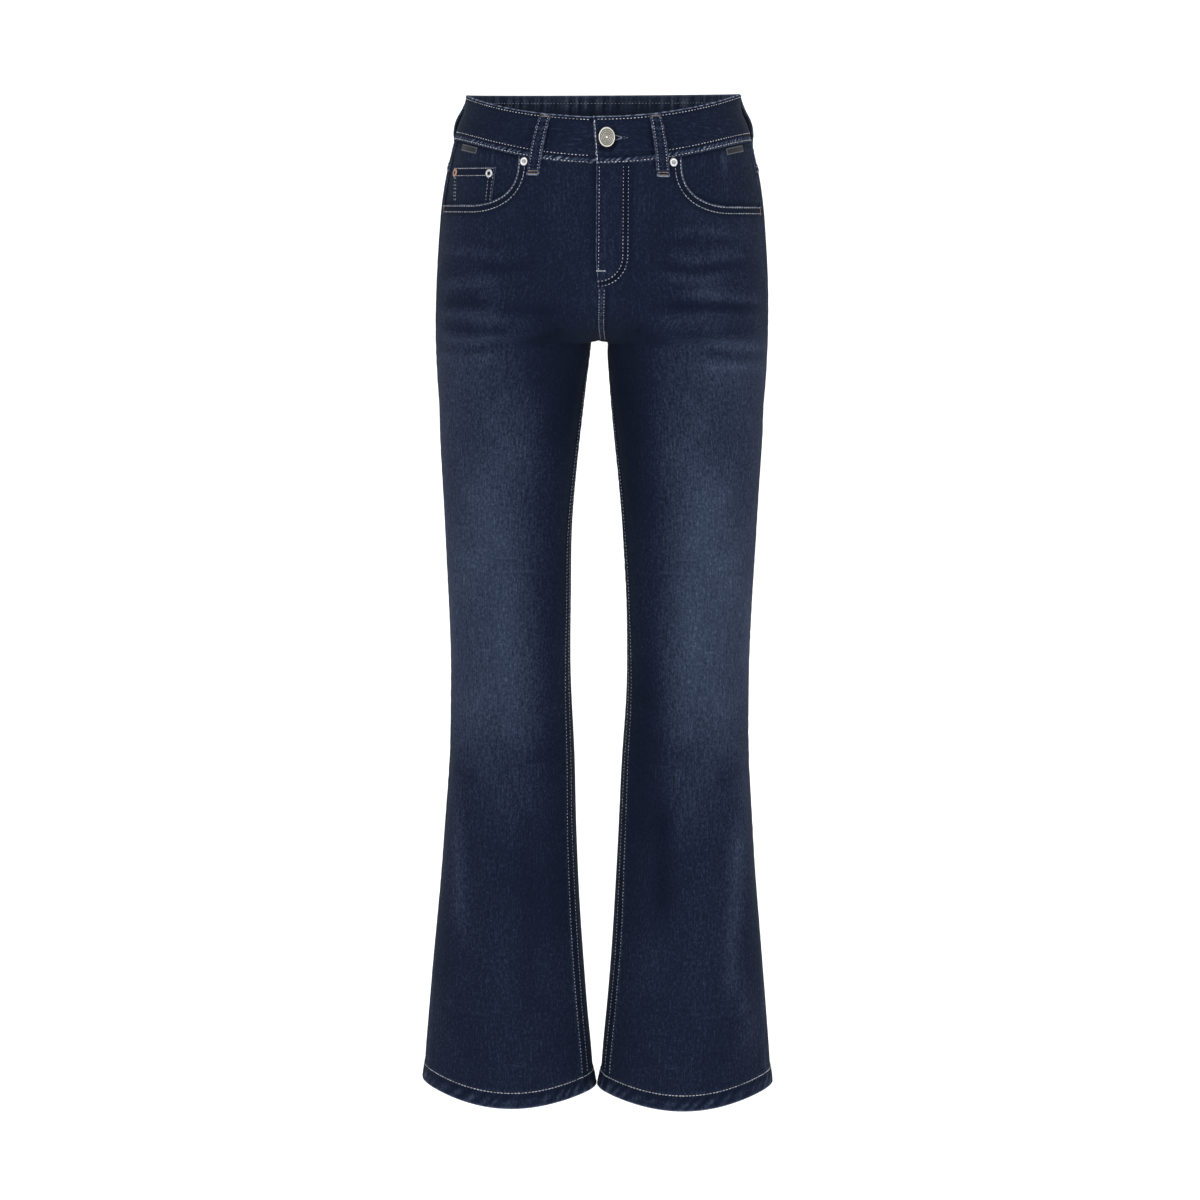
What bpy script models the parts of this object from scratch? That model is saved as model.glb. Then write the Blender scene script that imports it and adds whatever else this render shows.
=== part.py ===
"""Wide leg jeans in their worn, filled-out shape, hollow, open at the waist and at both hems.

Metres, +Z up, +X to the right of someone facing the front, front towards -Y.
The origin is the centre of the waist opening, level with the rim at the sides.

Every cloth piece is cut from one body surface.  A half of the garment at height z is an
oval with centre (cx, mid), half width w and half depth front or back.  Above the crotch
the two ovals run into each other and are cut at x = 0; below it they are the two legs.
psi is the angle round an oval: 0 inner leg, 90 front, 180 outer side, 270 back.
"""
import math

import bpy
import numpy as np

# ------------------------------------------------------------------ driving sizes, metres
CLOTH = 0.0012            # wall of the leg panels, yokes and patch pockets
BAND_WALL = 0.0024        # waistband, two layers of cloth
BAND_PROUD = 0.0006       # how far the waistband stands out from the panels
SEAM_GAP = 0.0003         # between neighbours at a seam, and between layers
HEM_WALL = 0.0026         # turned-up hem
HEM_HEIGHT = 0.020
HEM_PROUD = 0.0008
FRONT_DIP = 0.027         # rim at the centre front, below the rim at the sides
BACK_RISE = 0.002
RIM_TILT = 0.0014         # the rim stands this much higher on the wearer's left than midway
BAND_SEAM_SIDE = 0.0480   # waistband seam below the rim's level: at the sides,
BAND_SEAM_DIP = 0.0251    # lower at the centre front by this much
BAND_SEAM_RISE = 0.0039   # and higher at the centre back by this much
CROTCH_Z = -0.2556
CROTCH_CURVE_HEIGHT = 0.062   # the centre seams bend under over this height
CROTCH_ARCH_HEIGHT = 0.004    # the inner legs part under the crotch within this height
CROTCH_PART_HEIGHT = 0.050    # and the whole legs within this one
FOLD_FADE_HEIGHT = 0.040      # folds die away at the centre seams over this height
HEM_Z = -1.060            # hem at the outer side
HEM_FRONT_DIP = 0.012
HEM_INNER_DIP = 0.006
FLY_OVERLAP = 0.003       # the left front passes the centre line by this much at the fly
FLY_BOTTOM_Z = -0.198
YOKE_SIDE_HEIGHT = 0.032
YOKE_CENTRE_HEIGHT = 0.062

# Sections of the body: a row per height.  outer and inner are measured from the centre
# line; turn_in and turn_out are how far the leg seams lie to the front, in degrees; sway
# is how far both inner legs hang over along X, as those of the photographed pair do.
SECTION_COLUMNS = ("z", "outer", "inner", "front", "back", "mid", "turn_in", "turn_out",
                   "sway")
SECTIONS = (
    (0.010, 0.1418, 0.009, 0.0990, 0.1020, 0.000, 0.0, 9.0, 0.0000),
    (0.000, 0.1425, 0.009, 0.1000, 0.1030, 0.000, 0.0, 9.0, 0.0000),
    (-0.018, 0.1446, 0.009, 0.1030, 0.1065, 0.000, 0.0, 9.0, 0.0000),
    (-0.032, 0.1505, 0.009, 0.1055, 0.1100, 0.000, 0.0, 9.0, 0.0000),
    (-0.047, 0.1547, 0.009, 0.1075, 0.1130, 0.000, 0.0, 9.0, 0.0000),
    (-0.080, 0.1628, 0.009, 0.1110, 0.1205, 0.000, 0.0, 9.0, 0.0000),
    (-0.110, 0.1678, 0.009, 0.1130, 0.1260, 0.000, 0.0, 9.0, 0.0000),
    (-0.150, 0.1715, 0.009, 0.1140, 0.1310, 0.000, 0.0, 8.0, 0.0000),
    (-0.200, 0.1743, 0.009, 0.1120, 0.1310, 0.000, 0.0, 6.0, -0.0006),
    (-0.2556, 0.1750, 0.0090, 0.0990, 0.1150, 0.000, 0.0, 4.0, -0.0024),
    (-0.300, 0.1736, 0.0127, 0.0905, 0.1040, 0.002, 3.0, 3.0, -0.0036),
    (-0.361, 0.1702, 0.0187, 0.0840, 0.0960, 0.003, 6.0, 2.0, -0.0042),
    (-0.446, 0.1656, 0.0265, 0.0750, 0.0860, 0.004, 8.5, 2.0, -0.0038),
    (-0.532, 0.1618, 0.0298, 0.0680, 0.0770, 0.005, 10.0, 2.0, -0.0019),
    (-0.618, 0.1594, 0.0302, 0.0655, 0.0720, 0.006, 13.0, 2.0, -0.0006),
    (-0.705, 0.1608, 0.0258, 0.0650, 0.0700, 0.007, 16.0, 3.0, -0.0010),
    (-0.793, 0.1669, 0.0225, 0.0660, 0.0710, 0.008, 17.5, 5.0, -0.0018),
    (-0.881, 0.1741, 0.0179, 0.0670, 0.0730, 0.009, 18.0, 8.0, -0.0010),
    (-0.9695, 0.1820, 0.0114, 0.0680, 0.0740, 0.010, 18.0, 13.0, -0.0008),
    (-1.045, 0.1885, 0.0048, 0.0690, 0.0750, 0.011, 18.0, 18.0, -0.0006),
    (-1.090, 0.1915, 0.0032, 0.0695, 0.0755, 0.011, 18.0, 19.0, -0.0006),
)

# Largest folds, the same on both legs: centre (psi, z), half length and half width along
# the fold, its lean from upright in degrees, and its height (a hollow is below zero).
FOLD_COLUMNS = ("psi", "z", "half_length", "half_width", "lean", "height")
FOLDS = (
    (148.0, -0.800, 0.110, 0.020, 4.0, 0.0030),
    (40.0, -0.860, 0.100, 0.018, -3.0, -0.0020),
    (262.0, -0.600, 0.022, 0.060, 0.0, -0.0045),
    (255.0, -0.668, 0.020, 0.055, 0.0, -0.0035),
    (250.0, -0.325, 0.022, 0.080, 0.0, -0.0040),
    (300.0, -0.860, 0.120, 0.022, 3.0, 0.0030),
    (215.0, -0.900, 0.110, 0.022, -4.0, 0.0025),
    (50.0, -0.290, 0.060, 0.020, 38.0, -0.0030),
)

# Front pocket mouth: a quarter curve from the waistband down and out to the side seam.
MOUTH_START_X = 0.0830
MOUTH_REACH = 0.050
MOUTH_TOP_Z = -0.064
MOUTH_DEPTH = 0.051
FACING_MARGIN = 0.013     # how far the facing runs on behind the mouth
COIN_POCKET_X = 0.108
COIN_POCKET_TOP_Z = -0.0763
COIN_POCKET_DEPTH = 0.046

# Leg panel grids: heights shared by all four panels below the pockets and the yoke.
PANEL_LEVELS = (
    -0.133, -0.160, -0.186, -0.203, -0.219, -0.232, -0.242, -0.249, -0.2535,
    -0.2556, -0.2572, -0.2610, -0.272, -0.290, -0.315, -0.350, -0.390, -0.435, -0.480,
    -0.530, -0.580, -0.630, -0.680, -0.730, -0.780, -0.830, -0.880, -0.930, -0.980, -1.020,
)
FRONT_COLUMNS = 13
FRONT_TOP_X = (0.0, 0.026, 0.050, 0.0715, 0.0828, 0.0841, 0.089, 0.098, 0.112, 0.128, 0.143, 0.156,
               0.164, 0.170)
BACK_COLUMNS = 10

# Back patch pocket, measured along the cloth.
PATCH_WIDTH = 0.132
PATCH_SIDE_HEIGHT = 0.102
PATCH_POINT_DROP = 0.019
PATCH_TOP_Z = -0.121
PATCH_FROM_SIDE = 0.126   # side seam to the pocket's centre line

# Belt loops: a row per loop, with its angles round the waist at the top and the bottom.
LOOP_WIDTH = 0.0125
LOOP_THICK = 0.0022
LOOP_COLUMNS = ("name", "top_beta", "bottom_beta", "below_seam", "bow")
LOOPS = (
    ("belt_loop_front_right", 21.9, 24.4, 0.0175, 0.0030),
    ("belt_loop_front_left", -22.0, -23.2, 0.0180, 0.0030),
    ("belt_loop_side_right", 101.0, 101.0, 0.0120, 0.0020),
    ("belt_loop_side_left", -101.0, -101.0, 0.0120, 0.0020),
    ("belt_loop_back", 180.0, 180.0, 0.0150, 0.0045),
)

# Metal parts.
BUTTON_X = 0.0066
BUTTON_Z = -0.047
BUTTON_RADIUS = 0.0102
BUTTON_PROUD = 0.0052
RIVET_RADIUS = 0.0048
RIVET_X_RIGHT = 0.0769
RIVET_X_LEFT = 0.0745
RIVET_Z = -0.0712
RIVET_THICK = 0.0014
TAG_LENGTH = 0.030
TAG_HEIGHT = 0.0068
TAG_THICK = 0.0008
TAG_X = 0.139
TAG_Z = -0.0565
TAG_BELOW_SEAM = 0.0022

RIGHT = -1                # the wearer's right, at -X
LEFT = 1


# ------------------------------------------------------------------ body surface
def smooth_table(columns, rows, name, at):
    """A column of a table at the given heights, by cubic pieces with shared slopes."""
    table = np.array(rows)[::-1]
    x = table[:, 0]
    y = table[:, columns.index(name)]
    slope = np.gradient(y, x)
    at = np.clip(np.asarray(at, float), x[0], x[-1])
    i = np.clip(np.searchsorted(x, at) - 1, 0, len(x) - 2)
    h = x[i + 1] - x[i]
    t = (at - x[i]) / h
    near = (1 + 2 * t) * (1 - t) ** 2 * y[i] + t * (1 - t) ** 2 * h * slope[i]
    far = t * t * (3 - 2 * t) * y[i + 1] + t * t * (t - 1) * h * slope[i + 1]
    return near + far


def section(name, z):
    return smooth_table(SECTION_COLUMNS, SECTIONS, name, z)


def lean_share(z):
    """cx / w above the crotch: 1 at the crotch, 0 where the centre seam is upright."""
    rise = np.clip((z - CROTCH_Z) / CROTCH_CURVE_HEIGHT, 0, 1)
    reach = (1 - (1 - rise) ** 3) ** (1 / 1.6)
    return np.sqrt(np.clip(1 - reach**2, 0, 1))


def arch_share(z):
    """How far the legs have parted below the crotch: for the whole oval, and at the
    inner leg itself, where they part at once and leave a flat-topped arch."""
    soft = np.clip((CROTCH_Z - z) / CROTCH_PART_HEIGHT, 0, 1)
    quick = np.clip((CROTCH_Z - z) / CROTCH_ARCH_HEIGHT, 0, 1)
    return soft * soft * (3 - 2 * soft), np.sqrt(1 - (1 - quick) ** 2)


def half_oval(z):
    """Centre and half width of one half's oval at height z."""
    outer = section("outer", z)
    k = lean_share(z)
    inner = section("inner", z) * arch_share(z)[0]
    above = z >= CROTCH_Z
    cx = np.where(above, outer * k / (1 + k), (outer + inner) / 2)
    w = np.where(above, outer / (1 + k), (outer - inner) / 2)
    return cx, w


def fold_height(psi, z):
    """Sum of the soft folds: each a bell across its width and along its length."""
    total = np.zeros(np.broadcast(psi, z).shape)
    for row in FOLDS:
        fold = dict(zip(FOLD_COLUMNS, row))
        across = np.radians(np.degrees(psi) - fold["psi"]) * 0.075
        along = z - fold["z"]
        lean = math.radians(fold["lean"])
        u = across * math.cos(lean) + along * math.sin(lean)
        v = along * math.cos(lean) - across * math.sin(lean)
        bell = np.exp(-((u / fold["half_width"]) ** 2) - (v / fold["half_length"]) ** 2)
        total = total + fold["height"] * bell
    return total


def body(psi, z):
    """Points of one half (x from the centre line outwards) at angle psi and height z."""
    psi, z = np.broadcast_arrays(np.asarray(psi, float), np.asarray(z, float))
    cx, w = half_oval(z)
    sin = np.sin(psi)
    depth = np.where(sin > 0, section("front", z), section("back", z))
    fold = fold_height(psi, z)
    fade = np.clip((z - CROTCH_Z) / FOLD_FADE_HEIGHT, 0, 1)
    fold = fold * np.clip(1 - lean_share(z) * np.abs(np.cos(psi)), 0, 1) ** fade
    soft, quick = arch_share(z)
    arch = section("inner", z) * (quick - soft) * np.clip(np.cos(psi), 0, 1) ** 6
    x = cx - (w + fold) * np.cos(psi) + arch
    y = section("mid", z) - (depth + fold) * sin
    return np.stack([x, y, z], axis=-1)


def body_normal(psi, z):
    """Outward unit normal of the body, from small steps either way."""
    da, dz = 1e-3, 2e-4
    along = body(psi + da, z) - body(psi - da, z)
    up = body(psi, z + dz) - body(psi, z - dz)
    n = np.cross(along, up)
    n /= np.linalg.norm(n, axis=-1, keepdims=True)
    return n


def moved(psi, z, offset):
    """Points standing out from the body by offset, still with x from the centre."""
    return body(psi, z) + body_normal(psi, z) * np.asarray(offset)[..., None]


def to_side(points, side, psi=None):
    """A half's points put on the right (-1) or left (+1), half a seam gap from x = 0, with
    the inner legs swayed where psi is given."""
    out = np.array(points)
    out[..., 0] = side * (out[..., 0] + SEAM_GAP / 2)
    if psi is not None:
        out[..., 0] += section("sway", out[..., 2]) * ((1 + np.cos(psi)) / 2) ** 0.7
    return out


# ------------------------------------------------------------------ lines on the body
def rim_z(psi):
    """Height of the rim: dips at the centre front, level at the sides and the back."""
    s = np.sin(psi)
    return np.where(s > 0, -FRONT_DIP * np.abs(s) ** 1.7, BACK_RISE * np.abs(s))


def band_seam_z(psi):
    s = np.sin(psi)
    front = -BAND_SEAM_SIDE - BAND_SEAM_DIP * np.abs(s) ** 2.6
    return np.where(s > 0, front, -BAND_SEAM_SIDE + BAND_SEAM_RISE * np.abs(s))


def yoke_seam_z(psi):
    share = np.clip(-np.sin(psi), 0, 1)
    drop = YOKE_SIDE_HEIGHT + (YOKE_CENTRE_HEIGHT - YOKE_SIDE_HEIGHT) * share**1.3
    return band_seam_z(psi) - drop


def hem_z(psi):
    front = np.clip(np.sin(psi), 0, 1) ** 3
    inner = (1 + np.cos(psi)) / 2
    return HEM_Z - HEM_FRONT_DIP * front - HEM_INNER_DIP * inner


def mouth_z(x, margin=0.0):
    """Height of the pocket mouth's edge at distance x from the centre line."""
    share = np.clip((x - MOUTH_START_X + margin) / (MOUTH_REACH + margin), 0, 1)
    return MOUTH_TOP_Z - (MOUTH_DEPTH + margin) * (1 - (1 - share) ** 2) ** (1 / 3)


def angle_at_x(x, z):
    """Front angle of the point at distance x from the centre line, at height z."""
    cx, w = half_oval(np.asarray(z, float))
    return np.arccos(np.clip((cx - x) / w, -1, 1))


def end_angles(z, where, side):
    """Angles of a panel's centre or inner seam and of its outer seam at height z."""
    cx, w = half_oval(z)
    k = np.where(z >= CROTCH_Z, lean_share(z), 1.0)
    depth = section(where, z)
    gap = k * SEAM_GAP / 2 / depth
    turn_in = np.radians(section("turn_in", z)) * (z < CROTCH_Z)
    outer = math.pi - np.radians(section("turn_out", z))
    if where == "back":
        centre = 2 * math.pi - np.arccos(np.clip(k, 0, 1)) * (z >= CROTCH_Z)
        return centre + turn_in - gap, outer + SEAM_GAP / 2 / depth
    fly = np.clip((z - FLY_BOTTOM_Z) / 0.03, 0, 1) * FLY_OVERLAP
    cut = np.where(z >= CROTCH_Z, np.clip(k + side * fly / w, -1, 1), 1.0)
    return np.arccos(cut) + turn_in + gap, outer - SEAM_GAP / 2 / depth


def arc_angles(z, from_side, where):
    """Angle of points at given distances along the cloth from the side seam, level z."""
    out = np.empty(np.broadcast(z, from_side).shape)
    zb, sb = np.broadcast_arrays(z, from_side)
    for index in np.ndindex(out.shape):
        inner, outer = end_angles(np.array(zb[index]), where, RIGHT)
        angles = np.linspace(float(outer), float(inner), 80)
        steps = np.linalg.norm(np.diff(body(angles, zb[index]), axis=0), axis=1)
        run = np.concatenate([[0], np.cumsum(steps)])
        out[index] = np.interp(sb[index], run, angles)
    return out


# ------------------------------------------------------------------ mesh building
def add_object(name, verts, faces, material, smooth=False):
    mesh = bpy.data.meshes.new(name)
    mesh.from_pydata([tuple(map(float, v)) for v in verts], [], faces)
    mesh.materials.append(material)
    mesh.polygons.foreach_set("use_smooth", [smooth] * len(mesh.polygons))
    mesh.update()
    obj = bpy.data.objects.new(name, mesh)
    bpy.context.collection.objects.link(obj)
    return obj


def grid_faces(rows, cols, start, flip):
    faces = []
    for i in range(rows - 1):
        for j in range(cols - 1):
            a = start + i * cols + j
            b, c, d = a + 1, a + cols + 1, a + cols
            pair = [(a, b, c), (a, c, d)]
            faces += [f[::-1] for f in pair] if flip else pair
    return faces


def border(rows, cols):
    """Indices round a grid's edge, in order."""
    top = [j for j in range(cols)]
    right = [i * cols + cols - 1 for i in range(1, rows)]
    bottom = [(rows - 1) * cols + j for j in range(cols - 2, -1, -1)]
    left = [i * cols for i in range(rows - 2, 0, -1)]
    return top + right + bottom + left


def cloth_solid(name, outside, inside, material):
    """A thin wall between two grids of points with the same rows and columns."""
    rows, cols = outside.shape[:2]
    count = rows * cols
    verts = np.concatenate([outside.reshape(-1, 3), inside.reshape(-1, 3)])
    faces = grid_faces(rows, cols, 0, False) + grid_faces(rows, cols, count, True)
    edge = border(rows, cols)
    for a, b in zip(edge, edge[1:] + edge[:1]):
        faces += [(b, a, a + count), (b, a + count, b + count)]
    volume = 0.0
    for f in faces:
        p, q, r = verts[f[0]], verts[f[1]], verts[f[2]]
        volume += np.dot(p, np.cross(q, r))
    if volume < 0:
        faces = [f[::-1] for f in faces]
    return add_object(name, verts, faces, material)


def make_material(name, color, metallic, roughness):
    mat = bpy.data.materials.new(name)
    mat.use_nodes = True
    shader = mat.node_tree.nodes["Principled BSDF"]
    shader.inputs["Base Color"].default_value = (*color, 1.0)
    shader.inputs["Metallic"].default_value = metallic
    shader.inputs["Roughness"].default_value = roughness
    return mat


# ------------------------------------------------------------------ cloth pieces
def panel_rows(z_top, psi_of_share, shares, where, side):
    """Heights and angles of a leg panel: two rows under its top edge, the shared levels,
    and three rows for the hem."""
    levels = np.array(PANEL_LEVELS)
    columns = len(shares)
    first = np.full(columns, levels[0])
    middle = z_top + (first - z_top) * 0.5
    inner, outer = end_angles(np.full(columns, HEM_Z), where, side)
    psi_hem = inner + (outer - inner) * shares
    z_hem = hem_z(psi_hem)
    z_rows = [z_top, middle] + [np.full(columns, z) for z in levels]
    z_rows += [z_hem + HEM_HEIGHT + 0.001, z_hem + HEM_HEIGHT, z_hem]
    z = np.array(z_rows)
    psi = np.empty_like(z)
    for i in range(z.shape[0]):
        psi[i] = psi_of_share(z[i], i)
    return psi, z


def panel_solid(name, psi, z, side, material):
    proud = np.zeros_like(z)
    wall = np.full_like(z, CLOTH)
    proud[-2:] = HEM_PROUD
    proud[-1] += 0.0012
    wall[-2:] = HEM_WALL
    outside = to_side(moved(psi, z, proud), side, psi)
    inside = to_side(moved(psi, z, proud - wall), side, psi)
    return cloth_solid(name, outside, inside, material)


def front_panel(name, side, material):
    """Front leg with its scooped pocket corner.  The columns crowd round the mouth at the
    top and spread evenly below it."""
    even = np.linspace(0, 1, FRONT_COLUMNS + 1)
    top_x = np.array(FRONT_TOP_X)
    seam_z = band_seam_z(angle_at_x(top_x, np.full_like(top_x, -0.06)))
    z_top = np.where(top_x < MOUTH_START_X, seam_z - 1.5 * SEAM_GAP, mouth_z(top_x))

    def psi_of_share(z, row):
        inner, outer = end_angles(z, "front", side)
        plain = inner + (outer - inner) * even
        psi_top = np.clip(angle_at_x(top_x, z), inner, outer)
        psi_top[0] = inner[0]
        psi_top[-1] = outer[-1]
        share = np.clip((z - PANEL_LEVELS[4]) / (PANEL_LEVELS[0] - PANEL_LEVELS[4]), 0, 1)
        return plain + (psi_top - plain) * share

    psi, z = panel_rows(z_top, psi_of_share, even, "front", side)
    return panel_solid(name, psi, z, side, material)


def back_panel(name, side, material):
    shares = np.linspace(0, 1, BACK_COLUMNS + 1)

    def psi_of_share(z, row):
        inner, outer = end_angles(z, "back", side)
        return inner + (outer - inner) * shares

    guess = psi_of_share(np.full(BACK_COLUMNS + 1, -0.10), 0)
    z_top = yoke_seam_z(guess) - SEAM_GAP
    psi, z = panel_rows(z_top, psi_of_share, shares, "back", side)
    return panel_solid(name, psi, z, side, material)


def yoke(name, side, material):
    shares = np.linspace(0, 1, BACK_COLUMNS + 1)
    inner, outer = end_angles(np.full(BACK_COLUMNS + 1, -0.08), "back", side)
    guess = inner + (outer - inner) * shares
    top = band_seam_z(guess) - SEAM_GAP
    low = yoke_seam_z(guess)
    z = np.array([top, (top + low) / 2, low])
    psi = np.empty_like(z)
    for i in range(3):
        inner, outer = end_angles(z[i], "back", side)
        psi[i] = inner + (outer - inner) * shares
    return cloth_solid(name, to_side(moved(psi, z, np.zeros_like(z)), side),
                       to_side(moved(psi, z, np.full_like(z, -CLOTH)), side), material)


def pocket_facing(name, side, material, deeper):
    """The piece seen in the pocket mouth, behind the front panel."""
    x = np.array(FRONT_TOP_X[3:5] + FRONT_TOP_X[6:])
    top = band_seam_z(angle_at_x(x, np.full_like(x, -0.055))) - 2 * SEAM_GAP
    low = np.minimum(mouth_z(x, FACING_MARGIN), top - 0.004)
    z = np.array([top + (low - top) * t for t in (0, 0.5, 1)])
    _, outer = end_angles(z, "front", side)
    psi = np.minimum(angle_at_x(x[None, :], z), outer)
    psi[:, -1] = outer[:, -1]
    depth = CLOTH + SEAM_GAP + 0.0001 + deeper
    outside = to_side(moved(psi, z, np.full_like(z, -depth)), side)
    inside = to_side(moved(psi, z, np.full_like(z, -depth - 0.001)), side)
    return cloth_solid(name, outside, inside, material)


def coin_pocket(name, side, material):
    x = np.array((COIN_POCKET_X,) + FRONT_TOP_X[8:12])
    z = np.array([np.full_like(x, COIN_POCKET_TOP_Z - COIN_POCKET_DEPTH * t) for t in (0, 0.5, 1)])
    lean = (COIN_POCKET_TOP_Z - z) * 0.13 * np.linspace(1, 0, len(x))[None, :]
    _, outer = end_angles(z, "front", side)
    psi = np.minimum(angle_at_x(x[None, :] + lean, z), outer - 0.02)
    depth = CLOTH + SEAM_GAP + 0.0001
    outside = to_side(moved(psi, z, np.full_like(z, -depth)), side)
    inside = to_side(moved(psi, z, np.full_like(z, -depth - 0.0009)), side)
    return cloth_solid(name, outside, inside, material)


def patch_pocket(name, side, material):
    """Five-sided patch on the back panel, laid on it a seam gap out."""
    across = np.linspace(-1, 1, 9)
    down = np.linspace(0, 1, 8)
    taper = 1 - 0.10 * down[:, None]
    a = across[None, :] * PATCH_WIDTH / 2 * taper
    slope = 0.07 * across[None, :] * PATCH_WIDTH / 2
    side_drop = PATCH_SIDE_HEIGHT + PATCH_POINT_DROP * (1 - np.abs(across[None, :]))
    z = PATCH_TOP_Z + slope - down[:, None] * side_drop
    psi = arc_angles(z, PATCH_FROM_SIDE - a, "back")
    low = SEAM_GAP + 0.0005
    outside = to_side(moved(psi, z, np.full_like(z, low + 0.0011)), side, psi)
    inside = to_side(moved(psi, z, np.full_like(z, low)), side, psi)
    return cloth_solid(name, outside, inside, material)


def fly_underlap(name, material):
    """Strip behind the fly, joined to the right front and covered by the left one."""
    x = np.array([-0.006, 0.0, 0.013, 0.026, 0.034])
    z_levels = np.linspace(0, 1, 6)
    top = band_seam_z(np.full(5, math.pi / 2)) - SEAM_GAP
    low = FLY_BOTTOM_Z + 0.012 + 0.010 * (x / 0.034) ** 2
    z = top[None, :] + (low - top)[None, :] * z_levels[:, None]
    psi = angle_at_x(np.abs(x)[None, :], z)
    depth = np.full_like(z, -CLOTH - SEAM_GAP - 0.0005)
    outside = moved(psi, z, depth)
    inside = moved(psi, z, depth - 0.0016)
    for grid in (outside, inside):
        grid[..., 0] = grid[..., 0] * np.sign(x)[None, :]
    return cloth_solid(name, outside, inside, material)


def ring_points(beta, z, offset):
    """Waist points by the angle beta round the waist: 0 centre front, then over the
    wearer's right side; z and offset as for the body."""
    beta = np.asarray(beta, float)
    wrapped = np.mod(beta, 2 * math.pi)
    on_right = wrapped <= math.pi
    psi = np.where(on_right, math.pi / 2 + wrapped, math.pi / 2 + 2 * math.pi - wrapped)
    points = moved(psi, z, offset)
    points[..., 0] *= np.where(on_right, -1.0, 1.0)
    return points


def ring_psi(beta):
    wrapped = np.mod(beta, 2 * math.pi)
    return math.pi / 2 + np.where(wrapped <= math.pi, wrapped, 2 * math.pi - wrapped)


def ring_rim_z(beta):
    """The rim's height round the waist, with its slight tilt."""
    return rim_z(ring_psi(beta)) - RIM_TILT * np.sin(beta)


def waistband(name, material):
    """One strip round the waist, its left end lapped over its right end at the front."""
    start, finish = math.radians(-12.5), math.radians(362.0)
    beta = np.concatenate([np.radians([-12.5, -7.0, -2.0, 3.0, 8.0, 13.0]),
                           np.radians(np.linspace(20, 352, 40)), [math.radians(357.5), finish]])
    down = np.array([0.0, 0.5, 1.0])
    psi = ring_psi(beta)
    top, low = ring_rim_z(beta), band_seam_z(psi)
    slant = np.zeros_like(beta)
    slant[-1] = -math.radians(1.6)
    beta_rows = beta[None, :] - slant[None, :] * (0.5 - down[:, None]) * 1.0
    z = top[None, :] + (low - top)[None, :] * down[:, None]
    under = np.clip((math.radians(14) - beta) / math.radians(12), 0, 1)
    sink = under * (BAND_WALL + SEAM_GAP + 0.0002)
    outside = ring_points(beta_rows, z, BAND_PROUD - sink[None, :] * np.ones_like(z))
    inside = ring_points(beta_rows, z, BAND_PROUD - BAND_WALL - sink[None, :] * np.ones_like(z))
    return cloth_solid(name, outside, inside, material)


def belt_loop(row, material):
    """A strip sewn on at both ends that stands off the waistband between them."""
    loop = dict(zip(LOOP_COLUMNS, row))
    run = np.array([0.0, 0.10, 0.25, 0.5, 0.72, 0.90, 1.0])
    beta_mid = np.radians(loop["top_beta"] + (loop["bottom_beta"] - loop["top_beta"]) * run)
    psi = ring_psi(beta_mid)
    top = ring_rim_z(beta_mid) - 0.0012
    low = band_seam_z(psi) - loop["below_seam"]
    z_mid = top + (low - top) * run
    over_band = np.clip((z_mid - band_seam_z(psi)) / 0.004, 0, 1)
    seat = BAND_PROUD * over_band + SEAM_GAP + 0.0002
    bow = loop["bow"] * np.clip(np.sin(math.pi * np.clip((run - 0.06) / 0.84, 0, 1)), 0, 1)
    across = np.array([-0.5, 0.0, 0.5]) * LOOP_WIDTH
    reach = np.hypot(0.150 * np.cos(beta_mid), 0.108 * np.sin(beta_mid))
    beta = beta_mid[:, None] + across[None, :] / reach[:, None]
    z = np.repeat(z_mid[:, None], 3, axis=1)
    offset = np.repeat((seat + bow)[:, None], 3, axis=1)
    return cloth_solid(loop["name"], ring_points(beta, z, offset + LOOP_THICK),
                       ring_points(beta, z, offset), material)


# ------------------------------------------------------------------ metal pieces
def turned(name, profile, segments, centre, normal, material):
    """A closed round piece: profile rows of (radius, height) about the normal."""
    normal = np.array(normal) / np.linalg.norm(normal)
    u = np.cross(normal, [0.0, 0.0, 1.0])
    u /= np.linalg.norm(u)
    v = np.cross(normal, u)
    verts, rings = [], []
    for radius, height in profile:
        start = len(verts)
        count = 1 if radius == 0 else segments
        for k in range(count):
            a = 2 * math.pi * k / segments
            p = np.array(centre) + normal * height
            verts.append(p + radius * (u * math.cos(a) + v * math.sin(a)))
        rings.append((start, count))
    faces = []
    for (a0, an), (b0, bn) in zip(rings, rings[1:]):
        for k in range(segments):
            m = (k + 1) % segments
            if an == 1:
                faces.append((a0, b0 + m, b0 + k))
            elif bn == 1:
                faces.append((a0 + k, a0 + m, b0))
            else:
                faces.append((a0 + k, a0 + m, b0 + m))
                faces.append((a0 + k, b0 + m, b0 + k))
    volume = sum(np.dot(verts[f[0]], np.cross(verts[f[1]], verts[f[2]])) for f in faces)
    if volume < 0:
        faces = [f[::-1] for f in faces]
    return add_object(name, verts, faces, material, smooth=True)


def jeans_button(name, material):
    """Domed shank button seated on the waistband's lapped end."""
    psi = angle_at_x(np.array(BUTTON_X), np.array(BUTTON_Z))
    seat = BAND_PROUD + SEAM_GAP
    centre = moved(psi, np.array(BUTTON_Z), seat)
    normal = body_normal(psi, np.array(BUTTON_Z))
    r, h = BUTTON_RADIUS, BUTTON_PROUD
    profile = ((0, 0), (0.42 * r, 0), (0.42 * r, 0.45 * h), (0.92 * r, 0.50 * h),
               (r, 0.66 * h), (0.94 * r, 0.86 * h), (0.84 * r, 0.90 * h), (0.78 * r, 0.78 * h),
               (0.40 * r, 0.80 * h), (0.30 * r, 0.92 * h), (0, h))
    return turned(name, profile, 20, centre, normal, material)


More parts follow.
